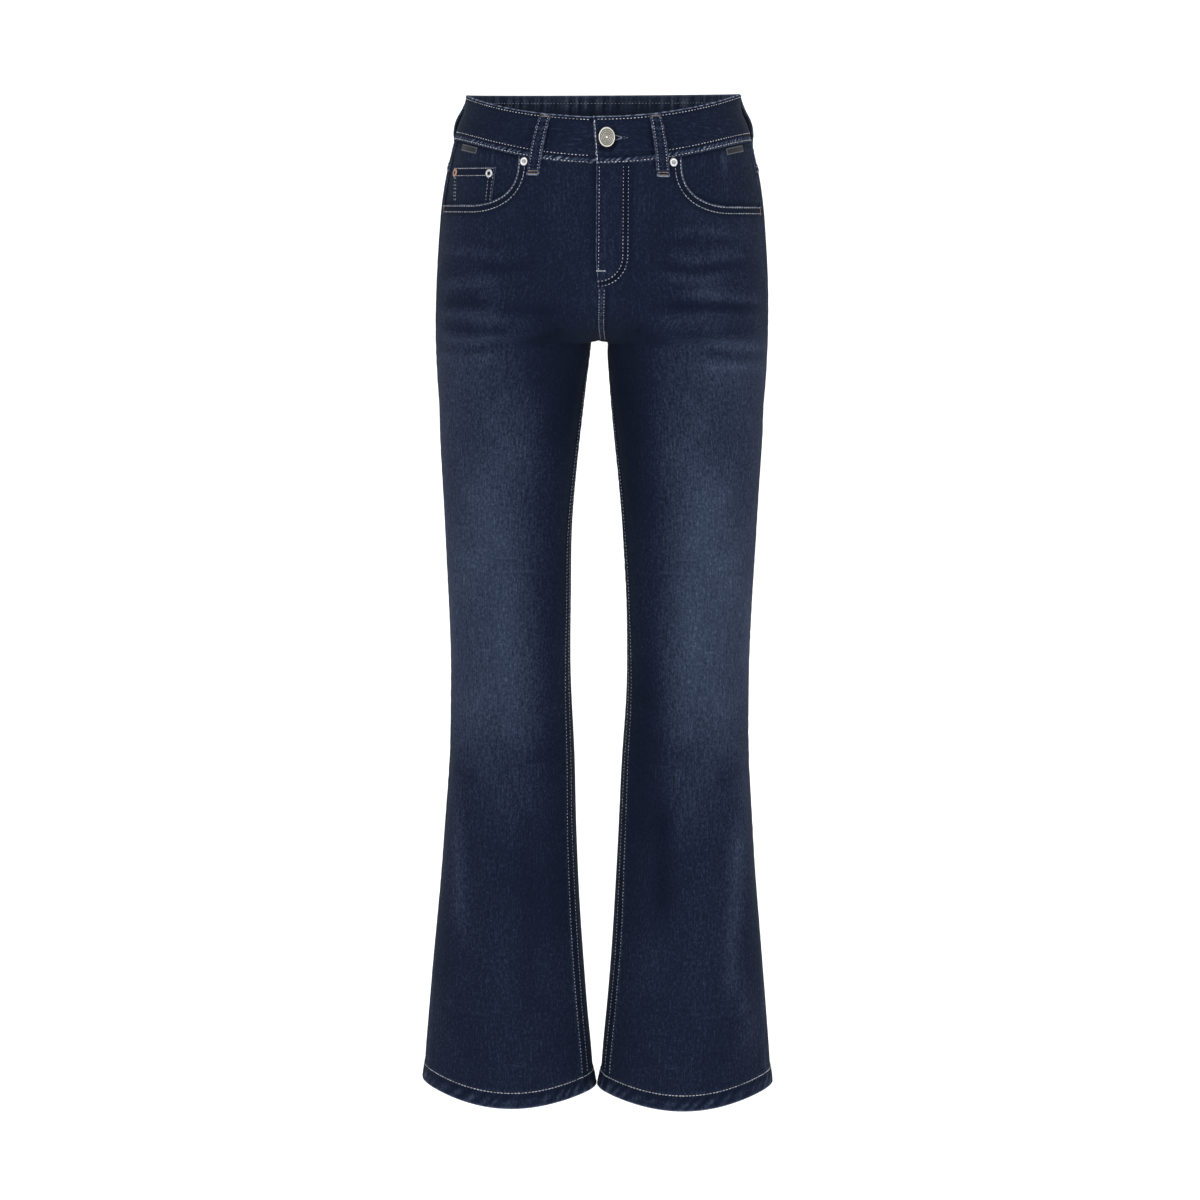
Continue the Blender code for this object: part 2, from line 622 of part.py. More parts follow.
def rivet(name, side, x, z, offset, material):
    z = np.array(z)
    psi = angle_at_x(np.array(x), z)
    centre = to_side(moved(psi, z, offset), side)
    normal = body_normal(psi, z) * np.array([side, 1, 1])
    r, h = RIVET_RADIUS, RIVET_THICK
    profile = ((0, 0), (r, 0), (r, 0.4 * h), (0.78 * r, h), (0.45 * r, 0.8 * h), (0, 0.45 * h))
    return turned(name, profile, 12, centre, normal, material)


def side_tag(name, side, depth, material):
    """Small bare plate under the waistband, on the pocket facing."""
    psi_mid = angle_at_x(np.array(TAG_X), np.array(TAG_Z))
    angles = psi_mid + np.linspace(-0.5, 0.5, 4)[None, :] * TAG_LENGTH / 0.122
    down = np.array([[0.0], [1.0]]) * TAG_HEIGHT + TAG_BELOW_SEAM
    z = band_seam_z(angles) - down
    psi = np.broadcast_to(angles, z.shape)
    low = np.full_like(z, SEAM_GAP + 0.0002 - depth)
    return cloth_solid(name, to_side(moved(psi, z, low + TAG_THICK), side),
                       to_side(moved(psi, z, low), side), material)


# ------------------------------------------------------------------ build
def build():
    for obj in list(bpy.data.objects):
        bpy.data.objects.remove(obj, do_unlink=True)
    facing_depth = CLOTH + SEAM_GAP + 0.0001
    coin_room = 0.0009 + SEAM_GAP + 0.0001

    def denim(name):
        return make_material("denim_" + name, (0.022, 0.035, 0.075), 0.0, 0.85)

    def metal(name, color, roughness):
        return make_material("metal_" + name, color, 1.0, roughness)

    for side, word in ((RIGHT, "right"), (LEFT, "left")):
        front_panel("front_" + word, side, denim("front_" + word))
        back_panel("back_" + word, side, denim("back_" + word))
        yoke("yoke_" + word, side, denim("yoke_" + word))
        deeper = coin_room if side == RIGHT else 0.0
        pocket_facing("pocket_facing_" + word, side, denim("facing_" + word), deeper)
        patch_pocket("back_pocket_" + word, side, denim("patch_" + word))
        rivet_x = RIVET_X_RIGHT if side == RIGHT else RIVET_X_LEFT
        rivet("rivet_pocket_" + word, side, rivet_x, RIVET_Z, SEAM_GAP + 0.0001,
              metal("rivet_" + word, (0.62, 0.60, 0.56), 0.35))
        side_tag("side_tag_" + word, side, facing_depth + deeper,
                 metal("tag_" + word, (0.12, 0.115, 0.10), 0.45))
    coin_pocket("coin_pocket", RIGHT, denim("coin_pocket"))
    rivet("rivet_coin_inner", RIGHT, 0.1143, -0.083, -facing_depth + SEAM_GAP + 0.0001,
          metal("rivet_coin_inner", (0.62, 0.60, 0.56), 0.35))
    rivet("rivet_coin_outer", RIGHT, 0.1525, -0.082, -facing_depth - 0.0001,
          metal("rivet_coin_outer", (0.50, 0.27, 0.16), 0.40))
    fly_underlap("fly_underlap", denim("fly_underlap"))
    waistband("waistband", denim("waistband"))
    for row in LOOPS:
        belt_loop(row, denim(row[0]))
    jeans_button("button", metal("button", (0.36, 0.35, 0.33), 0.38))


build()
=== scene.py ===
# %% [markdown]
# # Flared jeans in their worn shape
# The jeans stand as if a wearer filled them: a hollow tube of thin denim that splits into two.
# A plaster-like lump would lose the open waist and hems, so each cut piece is a thin shell.
# All shells are cut from one smooth body surface, which is worked out from a short table of
# sections, so that neighbours meet at their seams whatever is later pressed into the cloth.

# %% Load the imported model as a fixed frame
import math

import bpy
import numpy as np
from mathutils import Matrix


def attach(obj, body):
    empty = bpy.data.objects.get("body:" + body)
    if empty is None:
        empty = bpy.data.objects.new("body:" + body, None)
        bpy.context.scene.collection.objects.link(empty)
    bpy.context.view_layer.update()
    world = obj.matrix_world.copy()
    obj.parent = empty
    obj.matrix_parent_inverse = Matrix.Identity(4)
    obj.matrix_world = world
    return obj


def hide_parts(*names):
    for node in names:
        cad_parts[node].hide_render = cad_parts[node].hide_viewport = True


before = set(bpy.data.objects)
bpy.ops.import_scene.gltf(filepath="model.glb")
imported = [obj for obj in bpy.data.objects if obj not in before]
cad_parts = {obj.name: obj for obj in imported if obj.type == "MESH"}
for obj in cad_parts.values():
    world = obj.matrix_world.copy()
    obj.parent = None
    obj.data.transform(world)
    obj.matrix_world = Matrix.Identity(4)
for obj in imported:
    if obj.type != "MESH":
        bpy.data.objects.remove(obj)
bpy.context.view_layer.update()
print("nodes in the frame:", len(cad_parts))

# %% Sizes the pieces share with the CAD solids, in metres
CLOTH = 0.0012
BAND_WALL = 0.0024
BAND_PROUD = 0.0006
SEAM_GAP = 0.0003
CENTRE_LAP = 0.0001           # how far each half passes the centre, so that no light shows
HEM_WALL = 0.0026
HEM_HEIGHT = 0.020
HEM_PROUD = 0.0008
HEM_FLARE = 0.0012
HEM_KICK = 0.0020             # further flare at the inner corner
FRONT_DIP = 0.0252
BACK_RISE = 0.003
RIM_TILT = 0.0014
BAND_SEAM_SIDE = 0.0480
BAND_SEAM_DIP = 0.0251
BAND_SEAM_RISE = 0.0039
CROTCH_Z = -0.2556
CROTCH_CURVE_HEIGHT = 0.062
CROTCH_ARCH_HEIGHT = 0.004
CROTCH_PART_HEIGHT = 0.050
FOLD_FADE_HEIGHT = 0.040
HEM_Z = -1.060
HEM_FRONT_DIP = 0.012
HEM_INNER_DIP = 0.006
FLY_OVERLAP = 0.003
FLY_BOTTOM_Z = -0.198
YOKE_SIDE_HEIGHT = 0.032
YOKE_CENTRE_HEIGHT = 0.062
RIGHT, LEFT = -1, 1           # the wearer's right is at -X
SIDES = (RIGHT, LEFT)
WORDS = {RIGHT: "right", LEFT: "left"}
# Metres of cloth for a radian round the body, for patterns that need no exact distance.
FOLD_ARC, LEG_ARC, YOKE_ARC, WAIST_ARC, BAND_END_ARC = 0.075, 0.085, 0.13, 0.126, 0.15

# A row per height: distances from the centre line, depths, seam angles and sway.
SECTION_COLUMNS = ("z", "outer", "inner", "front", "back", "mid", "turn_in", "turn_out",
                   "sway")
SECTIONS = (
    (0.010, 0.1418, 0.009, 0.0990, 0.1020, 0.000, 0.0, 9.0, 0.0000),
    (0.000, 0.1425, 0.009, 0.1000, 0.1030, 0.000, 0.0, 9.0, 0.0000),
    (-0.018, 0.1446, 0.009, 0.1030, 0.1065, 0.000, 0.0, 9.0, 0.0000),
    (-0.032, 0.1505, 0.009, 0.1055, 0.1100, 0.000, 0.0, 9.0, 0.0000),
    (-0.047, 0.1547, 0.009, 0.1075, 0.1130, 0.000, 0.0, 9.0, 0.0000),
    (-0.080, 0.1628, 0.009, 0.1110, 0.1205, 0.000, 0.0, 9.0, 0.0000),
    (-0.110, 0.1678, 0.009, 0.1130, 0.1260, 0.000, 0.0, 9.0, 0.0000),
    (-0.150, 0.1715, 0.009, 0.1140, 0.1310, 0.000, 0.0, 8.0, 0.0000),
    (-0.200, 0.1743, 0.009, 0.1120, 0.1310, 0.000, 0.0, 6.0, -0.0006),
    (-0.2556, 0.1750, 0.0090, 0.0990, 0.1150, 0.000, 0.0, 4.0, -0.0024),
    (-0.300, 0.1736, 0.0127, 0.0905, 0.1040, 0.002, 3.0, 3.0, -0.0036),
    (-0.361, 0.1702, 0.0187, 0.0840, 0.0960, 0.003, 6.0, 2.0, -0.0042),
    (-0.446, 0.1656, 0.0265, 0.0750, 0.0860, 0.004, 8.5, 2.0, -0.0038),
    (-0.532, 0.1618, 0.0298, 0.0680, 0.0770, 0.005, 10.0, 2.0, -0.0019),
    (-0.618, 0.1594, 0.0302, 0.0655, 0.0720, 0.006, 13.0, 2.0, -0.0006),
    (-0.705, 0.1608, 0.0258, 0.0650, 0.0700, 0.007, 16.0, 3.0, -0.0010),
    (-0.793, 0.1669, 0.0225, 0.0660, 0.0710, 0.008, 17.5, 5.0, -0.0018),
    (-0.881, 0.1741, 0.0179, 0.0670, 0.0730, 0.009, 18.0, 8.0, -0.0010),
    (-0.9695, 0.1820, 0.0114, 0.0680, 0.0740, 0.010, 18.0, 13.0, -0.0008),
    (-1.045, 0.1885, 0.0048, 0.0690, 0.0750, 0.011, 18.0, 18.0, -0.0006),
    (-1.090, 0.1915, 0.0032, 0.0695, 0.0755, 0.011, 18.0, 19.0, -0.0006),
)
print("sections:", len(SECTIONS), "from", SECTIONS[0][0], "to", SECTIONS[-1][0], "m")

# The largest folds, alike on both legs.
FOLD_COLUMNS = ("psi", "z", "half_length", "half_width", "lean", "height")
FOLDS = (
    (148.0, -0.800, 0.110, 0.020, 4.0, 0.0030),
    (40.0, -0.860, 0.100, 0.018, -3.0, -0.0020),
    (262.0, -0.600, 0.022, 0.060, 0.0, -0.0045),
    (255.0, -0.668, 0.020, 0.055, 0.0, -0.0035),
    (250.0, -0.325, 0.022, 0.080, 0.0, -0.0040),
    (300.0, -0.860, 0.120, 0.022, 3.0, 0.0030),
    (215.0, -0.900, 0.110, 0.022, -4.0, 0.0025),
    (50.0, -0.290, 0.060, 0.020, 38.0, -0.0030),
)

# %% [markdown]
# ## The camera
# The camera comes first, because everything is judged through it.
# The photograph shows the back rim over the front rim and the curve of both hems, so the
# camera looks down a little; a long lens keeps the legs nearly parallel.

# %% Camera
CAMERA_DISTANCE = 3.2
CAMERA_HEIGHT = -0.12
CAMERA_PITCH = math.radians(7.337)
CAMERA_TURN = math.radians(1.7)
CAMERA_ROLL = 0.0062
CAMERA_LENS = 90.77           # millimetres on a 36 mm sensor


def camera_axes():
    """Right, up and forward: forward is turned and pitched, right and up are then rolled."""
    turn, pitch = CAMERA_TURN, CAMERA_PITCH
    forward = np.array([-math.sin(turn) * math.cos(pitch), math.cos(turn) * math.cos(pitch),
                        -math.sin(pitch)])
    right = np.array([math.cos(turn), math.sin(turn), 0.0])
    up = np.cross(right, forward)
    rolled_right = right * math.cos(CAMERA_ROLL) + up * math.sin(CAMERA_ROLL)
    rolled_up = up * math.cos(CAMERA_ROLL) - right * math.sin(CAMERA_ROLL)
    return rolled_right, rolled_up, forward


def unit(vectors):
    return vectors / np.linalg.norm(vectors, axis=-1, keepdims=True)


def placed_matrix(x_way, y_way, z_way, place):
    """The matrix whose columns are three axes and a place."""
    return Matrix([(x_way[k], y_way[k], z_way[k], place[k]) for k in range(3)] + [(0, 0, 0, 1)])


def make_camera():
    right, up, forward = camera_axes()
    place = (CAMERA_DISTANCE * math.sin(CAMERA_TURN), -CAMERA_DISTANCE * math.cos(CAMERA_TURN),
             CAMERA_HEIGHT)
    data = bpy.data.cameras.new("camera")
    data.lens = CAMERA_LENS
    data.sensor_width = 36.0
    camera = bpy.data.objects.new("camera", data)
    bpy.context.collection.objects.link(camera)
    camera.matrix_world = placed_matrix(right, up, -forward, place)
    bpy.context.scene.camera = camera
    return camera


print("camera at", tuple(round(c, 3) for c in make_camera().matrix_world.translation))

# %% [markdown]
# ## The body surface
# Half of the jeans at a height is an oval.  Above the crotch the two ovals run into each
# other and are cut at the centre; below it they are the legs.  A point is named by its angle
# psi round the oval (0 inner leg, 90 front, 180 outer side, 270 back) and its height z.
# Sculpting would lose those names, and every seam, stitch and crease below needs them.

# %% Sections between the table's rows
def smooth_table(columns, rows, name, at):
    """A column of a table at any height: cubic pieces with shared slopes."""
    table = np.array(rows)[::-1]
    x = table[:, 0]
    y = table[:, columns.index(name)]
    slope = np.gradient(y, x)
    at = np.clip(np.asarray(at, float), x[0], x[-1])
    i = np.clip(np.searchsorted(x, at) - 1, 0, len(x) - 2)
    h = x[i + 1] - x[i]
    t = (at - x[i]) / h
    near = (1 + 2 * t) * (1 - t) ** 2 * y[i] + t * (1 - t) ** 2 * h * slope[i]
    far = t * t * (3 - 2 * t) * y[i + 1] + t * t * (t - 1) * h * slope[i + 1]
    return near + far


def section(name, z):
    return smooth_table(SECTION_COLUMNS, SECTIONS, name, z)


def smooth_step(x):
    """0 below 0, 1 above 1, and 3x^2 - 2x^3 between."""
    x = np.clip(x, 0, 1)
    return x * x * (3 - 2 * x)


def bell(x):
    return np.exp(-np.square(x))


print("half width at the hip:", round(float(section("outer", -0.2)), 4))

# %% The body itself
def lean_share(z):
    """cx / w above the crotch: 1 at the crotch, 0 where the centre seam is upright."""
    rise = np.clip((z - CROTCH_Z) / CROTCH_CURVE_HEIGHT, 0, 1)
    reach = (1 - (1 - rise) ** 3) ** (1 / 1.6)
    return np.sqrt(np.clip(1 - reach**2, 0, 1))


def arch_share(z):
    """How far the legs have parted: for the whole oval, and at the inner leg itself."""
    soft = smooth_step((CROTCH_Z - z) / CROTCH_PART_HEIGHT)
    quick = np.clip((CROTCH_Z - z) / CROTCH_ARCH_HEIGHT, 0, 1)
    return soft, (1 - (1 - quick) ** 3.5) ** (1 / 3.5)


def half_oval(z):
    outer = section("outer", z)
    k = lean_share(z)
    inner = section("inner", z) * arch_share(z)[0]
    above = z >= CROTCH_Z
    cx = np.where(above, outer * k / (1 + k), (outer + inner) / 2)
    w = np.where(above, outer / (1 + k), (outer - inner) / 2)
    return cx, w


def fold_height(psi, z):
    """Sum of the largest folds, each a bell across its width and along its length."""
    total = np.zeros(np.broadcast(psi, z).shape)
    for row in FOLDS:
        fold = dict(zip(FOLD_COLUMNS, row))
        across = (psi - math.radians(fold["psi"])) * FOLD_ARC
        along = z - fold["z"]
        lean = math.radians(fold["lean"])
        u = across * math.cos(lean) + along * math.sin(lean)
        v = along * math.cos(lean) - across * math.sin(lean)
        shape = bell(u / fold["half_width"]) * bell(v / fold["half_length"])
        total = total + fold["height"] * shape
    return total


def body(psi, z):
    """x = cx - w cos(psi) and y = mid - depth sin(psi), each oval swollen by its folds."""
    psi, z = np.broadcast_arrays(np.asarray(psi, float), np.asarray(z, float))
    cx, w = half_oval(z)
    sin = np.sin(psi)
    depth = np.where(sin > 0, section("front", z), section("back", z))
    fold = fold_height(psi, z)
    fade = np.clip((z - CROTCH_Z) / FOLD_FADE_HEIGHT, 0, 1)
    fold = fold * np.clip(1 - lean_share(z) * np.abs(np.cos(psi)), 0, 1) ** fade
    soft, quick = arch_share(z)
    arch = section("inner", z) * (quick - soft) * np.clip(np.cos(psi), 0, 1) ** 6
    x = cx - (w + fold) * np.cos(psi) + arch
    y = section("mid", z) - (depth + fold) * sin
    return np.stack([x, y, z], axis=-1)


def body_normal(psi, z):
    """Outward unit normal: the cross product of small steps round and up."""
    da, dz = 1e-3, 2e-4
    along = body(psi + da, z) - body(psi - da, z)
    up = body(psi, z + dz) - body(psi, z - dz)
    return unit(np.cross(along, up))


def to_side(points, side, psi):
    """A half's points on the right or left of x = 0, with the inner legs' slight sway."""
    out = np.array(points)
    out[..., 0] = side * (out[..., 0] - CENTRE_LAP)
    out[..., 0] += section("sway", out[..., 2]) * ((1 + np.cos(psi)) / 2) ** 0.7
    return out


print("front of the left thigh:", np.round(body(math.pi / 2, -0.4), 3))

# %% Seam lines on the body
def rim_z(psi):
    s = np.sin(psi)
    return np.where(s > 0, -FRONT_DIP * np.abs(s) ** 1.7, BACK_RISE * np.abs(s))


def band_seam_z(psi):
    s = np.sin(psi)
    front = -BAND_SEAM_SIDE - BAND_SEAM_DIP * np.abs(s) ** 2.6
    return np.where(s > 0, front, -BAND_SEAM_SIDE + BAND_SEAM_RISE * np.abs(s))


def yoke_seam_z(psi):
    share = np.clip(-np.sin(psi), 0, 1)
    drop = YOKE_SIDE_HEIGHT + (YOKE_CENTRE_HEIGHT - YOKE_SIDE_HEIGHT) * share**1.3
    return band_seam_z(psi) - drop


def hem_z(psi):
    front = np.clip(np.sin(psi), 0, 1) ** 3
    return HEM_Z - HEM_FRONT_DIP * front - HEM_INNER_DIP * (1 + np.cos(psi)) / 2


def angle_at_x(x, z):
    """Front angle of the point at distance x from the centre line."""
    cx, w = half_oval(np.asarray(z, float))
    return np.arccos(np.clip((cx - x) / w, -1, 1))


def end_angles(z, where, side):
    """Angles of a panel's centre or inner seam and of its outer seam."""
    _, w = half_oval(z)
    k = np.where(z >= CROTCH_Z, lean_share(z), 1.0)
    turn_in = np.radians(section("turn_in", z)) * (z < CROTCH_Z)
    outer = math.pi - np.radians(section("turn_out", z))
    if where == "back":
        centre = 2 * math.pi - np.arccos(np.clip(k, 0, 1)) * (z >= CROTCH_Z)
        return centre + turn_in, outer
    fly = np.clip((z - FLY_BOTTOM_Z) / 0.03, 0, 1) * FLY_OVERLAP
    cut = np.where(z >= CROTCH_Z, np.clip(k + side * fly / w, -1, 1), 1.0)
    return np.arccos(cut) + turn_in, outer


def cloth_per_radian(psi, z):
    """Metres of cloth for a radian of psi: the speed round the oval."""
    _, w = half_oval(z)
    depth = np.where(np.sin(psi) > 0, section("front", z), section("back", z))
    return np.hypot(w * np.sin(psi), depth * np.cos(psi))


print("hem at the front:", round(float(hem_z(math.pi / 2)), 4))

# %% [markdown]
# ## Creases and fading
# Worn denim keeps creases: short whiskers fan over each thigh from the crotch, cloth bunches
# behind the knee and under the seat, and long soft folds hang in the flare.  The ridges of
# whiskers and bunches rub pale; the troughs and the inner leg are darkened with painted shade,
# and the folds in the flare carry a painted highlight on each ridge.  A cloth simulation would
# put them anywhere, so each is listed as a soft ridge or trough along a line, with its own
# length, width, height and wear.

# %% Creases, a row each
# Each row has x and z of both ends, half width and height, in tenths of a millimetre, then wear.
# A negative wear is painted shade in a trough or on the inner leg; a positive one is rubbed
# fading, but on the ridges of the folds in the flare a painted highlight.
CREASES = {
    (RIGHT, "front"): (
        # whiskers on the thigh: pale rubbed ridges, troughs darkened with painted shade
        (960, -1620, 1640, -1660, 58, 7, 0.34), (730, -1765, 1180, -1785, 60, -7, -0.30),
        (1080, -1940, 1620, -1950, 70, 9, 0.42), (1120, -2140, 1600, -2175, 52, -9, -0.42),
        (460, -2215, 940, -2225, 55, -8, -0.40), (980, -2290, 1640, -2300, 62, 9, 0.38),
        (940, -2400, 1580, -2430, 48, -7, -0.34), (1040, -2510, 1660, -2500, 56, 8, 0.34),
        (920, -2600, 1550, -2640, 50, -6, -0.26), (1080, -2720, 1620, -2700, 70, 6, 0.30),
        (400, -2450, 780, -2560, 70, -10, -0.40), (320, -2060, 660, -2100, 50, 5, 0.10),
        # the hip, and the inner leg darkened with painted shade between the legs
        (1400, -1450, 1400, -2000, 400, 0, 0.05), (280, -2200, 340, -3600, 240, 0, -0.20),
        (540, -2300, 600, -2900, 200, 0, -0.20), (500, -6400, 480, -9000, 200, 0, -0.08),
        # flare folds with painted highlights and painted shade, then pulls across the knee
        (1505, -7250, 1450, -8800, 80, 12, 0.20), (720, -7600, 690, -9600, 120, -12, -0.12),
        (1000, -8600, 980, -10000, 150, 10, 0.06), (500, -6900, 1000, -7080, 90, -8, -0.10),
        (1200, -6800, 1560, -6960, 80, -7, -0.08)),
    (LEFT, "front"): (
        # whiskers on the thigh: pale rubbed ridges, troughs darkened with painted shade
        (740, -1410, 1400, -1430, 50, 6, 0.28), (700, -1515, 1360, -1520, 46, -5, -0.22),
        (780, -1650, 1420, -1680, 58, 8, 0.36), (660, -1765, 1460, -1780, 52, -8, -0.36),
        (620, -1875, 1240, -1860, 60, 9, 0.40), (900, -2050, 1630, -2085, 56, 9, 0.42),
        (700, -2160, 1600, -2180, 54, -7, -0.36), (580, -2290, 1100, -2280, 60, 5, 0.16),
        (780, -2430, 1580, -2450, 60, -8, -0.34), (1180, -2550, 1710, -2570, 70, 9, 0.42),
        (1060, -2660, 1660, -2680, 56, -6, -0.30), (1120, -2800, 1680, -2790, 72, 6, 0.32),
        (360, -2400, 700, -2520, 75, -10, -0.40),
        # the hip, the inner leg darkened with painted shade, and a trough with painted shade
        (1280, -1350, 1280, -2300, 420, 0, 0.12), (260, -2150, 400, -4400, 240, 0, -0.24),
        (520, -6000, 540, -7900, 180, 0, -0.27), (700, -7400, 710, -8650, 100, -14, -0.34),
        # flare folds with painted highlights and painted shade, then pulls across the knee
        (1560, -7000, 1520, -8000, 110, 0, 0.16), (1506, -7800, 1417, -9500, 90, 13, 0.24),
        (1540, -9200, 1640, -10100, 110, 10, 0.16), (1080, -8200, 1100, -9900, 150, 10, 0.06),
        (520, -6720, 980, -6900, 90, -8, -0.12), (1280, -6980, 1580, -7120, 80, -7, -0.08)),
    (RIGHT, "back"): (
        # hidden: under the seat
        (300, -2900, 950, -2700, 80, -13, -0.40), (550, -3180, 1400, -3040, 90, -11, -0.32),
        (500, -3000, 1200, -2860, 70, 9, 0.26), (600, -3360, 1300, -3280, 80, 8, 0.20),
        # behind the knee
        (600, -5860, 1280, -5960, 70, 12, 0.34), (520, -6080, 1340, -6120, 62, -13, -0.34),
        (700, -6240, 1400, -6340, 66, 12, 0.36), (560, -6480, 1200, -6420, 60, -11, -0.30),
        (660, -6640, 1320, -6720, 75, 10, 0.28), (740, -5640, 1180, -5600, 90, 7, 0.18),
        # seat and thigh fading, folds in the flare with painted highlights and painted shade
        (850, -1700, 900, -2300, 420, 0, 0.34), (1000, -3600, 1020, -5200, 300, 0, 0.26),
        (980, -7200, 1000, -8600, 280, 0, 0.14), (740, -7400, 660, -9600, 110, 13, 0.12),
        (1300, -8000, 1380, -10000, 120, -12, -0.10)),
    (LEFT, "back"): (
        # hidden: under the seat
        (340, -2860, 1040, -2660, 85, -13, -0.40), (500, -3220, 1320, -3060, 90, -12, -0.32),
        (580, -3020, 1260, -2860, 66, 9, 0.26), (620, -3400, 1360, -3340, 80, 8, 0.18),
        # behind the knee
        (580, -5920, 1300, -5840, 70, 12, 0.34), (600, -6100, 1380, -6040, 60, -13, -0.34),
        (520, -6300, 1240, -6260, 68, 12, 0.36), (640, -6440, 1360, -6500, 60, -11, -0.30),
        (600, -6700, 1280, -6640, 78, 10, 0.26), (800, -5660, 1220, -5680, 90, 7, 0.18),
        # seat and thigh fading, folds in the flare with painted highlights and painted shade
        (850, -1700, 900, -2300, 420, 0, 0.34), (1000, -3600, 1020, -5300, 300, 0, 0.28),
        (980, -7200, 1000, -8600, 280, 0, 0.14), (700, -7600, 640, -9800, 110, 13, 0.12),
        (1260, -7800, 1340, -9800, 120, -12, -0.10)),
}
print("creases and faded places:", sum(len(rows) for rows in CREASES.values()))

# %% Their height, fading and painted light anywhere on the cloth
SHORT_CREASE = 0.09
NARROW_CREASE = 0.02
# it scales a short crease's painted trough shade as well as its fading
SHORT_WEAR = 0.50             # share of its wear that a short crease has kept in the wash


def crease_shapes(side, psi, z):
    """Each crease is a bell across its line and fades past its ends.  Front creases die
    away round the seams in step with the back ones, so both panels agree there."""
    x = body(psi, z)[..., 0]
    height, wear = np.zeros(x.shape), np.zeros(x.shape)
    for face, facing in (("front", np.sin(psi)), ("back", -np.sin(psi))):
        seen = smooth_step(facing / 0.5 + 0.5)
        for row in CREASES[side, face]:
            x_a, z_a, x_b, z_b, half_width, tall = np.array(row[:6]) / 10000.0
            length = math.hypot(x_b - x_a, z_b - z_a)
            way_x, way_z = (x_b - x_a) / length, (z_b - z_a) / length
            along = (x - x_a) * way_x + (z - z_a) * way_z
            off = (z - z_a) * way_x - (x - x_a) * way_z
            short = length < SHORT_CREASE
            off = off - 0.04 * length * np.sin(along * 61 + z_a * 90) * short
            past = np.maximum(np.abs(along - length / 2) - length * 0.30, 0)
            shape = bell(off / half_width) * bell(past / (length * 0.16 + half_width)) * seen
            kept = SHORT_WEAR if short and half_width < NARROW_CREASE else 1.0
            height += tall * shape
            wear += row[6] * kept * shape
    return height, wear


# The fronts fade in one broad stretch: a level for each height and side.
FADE_COLUMNS = ("z", "right", "left")
FADES = (
    (-0.180, 0.00, 0.00), (-0.240, 0.10, 0.10), (-0.277, 0.22, 0.26), (-0.319, 0.29, 0.31),
    (-0.361, 0.34, 0.35), (-0.403, 0.37, 0.42), (-0.446, 0.41, 0.47), (-0.488, 0.45, 0.51),
    (-0.530, 0.47, 0.56), (-0.572, 0.48, 0.57), (-0.615, 0.46, 0.51), (-0.657, 0.39, 0.41),
    (-0.699, 0.24, 0.26), (-0.741, 0.10, 0.15), (-0.805, 0.03, 0.05), (-0.900, 0.00, 0.00),
)


def leg_fade(side, psi, z):
    """Level at a height, a little less at the outer side, gone four fifths of the way in."""
    share = (1 + np.cos(psi)) / 2
    level = smooth_table(FADE_COLUMNS, FADES, WORDS[side], z)
    inward = 0.42 if side == LEFT else 0.46
    level = level * (0.78 + 0.22 * smooth_step(share / 0.3))
    inner_end = 1 - smooth_step((share - inward) / 0.44)
    return level * inner_end * smooth_step(np.sin(psi) / 0.5 + 0.5)


def slow_waves(side, psi, z):
    """Cloth is never quite smooth: a sum of a few long, shallow waves."""
    arc = psi * LEG_ARC * side
    first = np.sin(arc * 41 + z * 9.0 + 0.7 * side) * np.sin(z * 13.7 + 1.1 * side)
    second = np.sin(arc * 63 - z * 17.3 + 2.1) * np.sin(z * 29.1 - arc * 11)
    return 0.00045 * first + 0.00025 * second


whisker = crease_shapes(LEFT, math.radians(120), -0.165)[0]
print("height in a whisker:", np.round(whisker * 1000, 2), "mm")

# %% [markdown]
# ## What seams do to the cloth
# Jeans are sewn with felled seams: one edge is folded over the other and held by two rows of
# stitches, so the cloth there is a raised strip with a furrow under each row.  Washing
# shrinks the thread and the strip ropes into small slanting puckers.
# A bump texture would vanish at the outline, so the strips are part of the shells' shape.

# %% Furrows, strips and puckers
FELL_ROWS = (0.0016, 0.0118)       # stitch rows of the inner leg seam, from its fold
FELL_WIDTH, FELL_TALL = 0.0134, 0.0008
CENTRE_ROWS = (0.0012, 0.0062)     # stitch rows of the centre seams
CENTRE_WIDTH = 0.0078
OUTSEAM_ALLOWANCE = 0.0125
FLY_ROWS = (0.0244, 0.0294)        # the curved double row, from the centre line
FLY_BAR_Z = -0.1808
FLY_STRAIGHT_END = -0.164
FLY_ROW_ENDS = (-0.1912, -0.1962)
HEM_ROW = 0.0172                   # stitch row above the hem's fold


def strip(distance, width, soft=0.0012):
    """1 on a strip beside a seam, 0 past its far edge."""
    return 1 - smooth_step((distance - width) / soft)


def furrow(distance, half_width=0.0011):
    return bell(distance / half_width)


def furrows(distance, rows, half_width=0.0011):
    """The furrows under several rows of stitches."""
    return sum(furrow(distance - row, half_width) for row in rows)


def edge_roll(distance, radius):
    """How far a folded edge curls down: a quarter circle within radius of the edge."""
    share = np.clip(1 - distance / radius, 0, 1)
    return radius * (1 - np.sqrt(1 - share**2))


def pucker(run, pitch, seed):
    """Uneven waves along a seam: a sine whose phase itself wanders."""
    wander = 1.3 * np.sin(run * 2 * math.pi / (pitch * 5.3) + seed)
    wander += 0.8 * np.sin(run * 2 * math.pi / (pitch * 2.6) + 2.3 * seed)
    swell = 0.65 + 0.35 * np.sin(run * 2 * math.pi / (pitch * 7.1) + 3.1 * seed)
    return np.sin(run * 2 * math.pi / pitch + wander) * swell


def fly_row_x(z, row):
    """The fly's curved rows: straight down, then a quarter ellipse in to the centre."""
    reach, end = FLY_ROWS[row], FLY_ROW_ENDS[row]
    share = np.clip((FLY_STRAIGHT_END - z) / (FLY_STRAIGHT_END - end), 0, 1)
    return reach * np.sqrt(np.clip(1 - share**2.2, 0, 1))


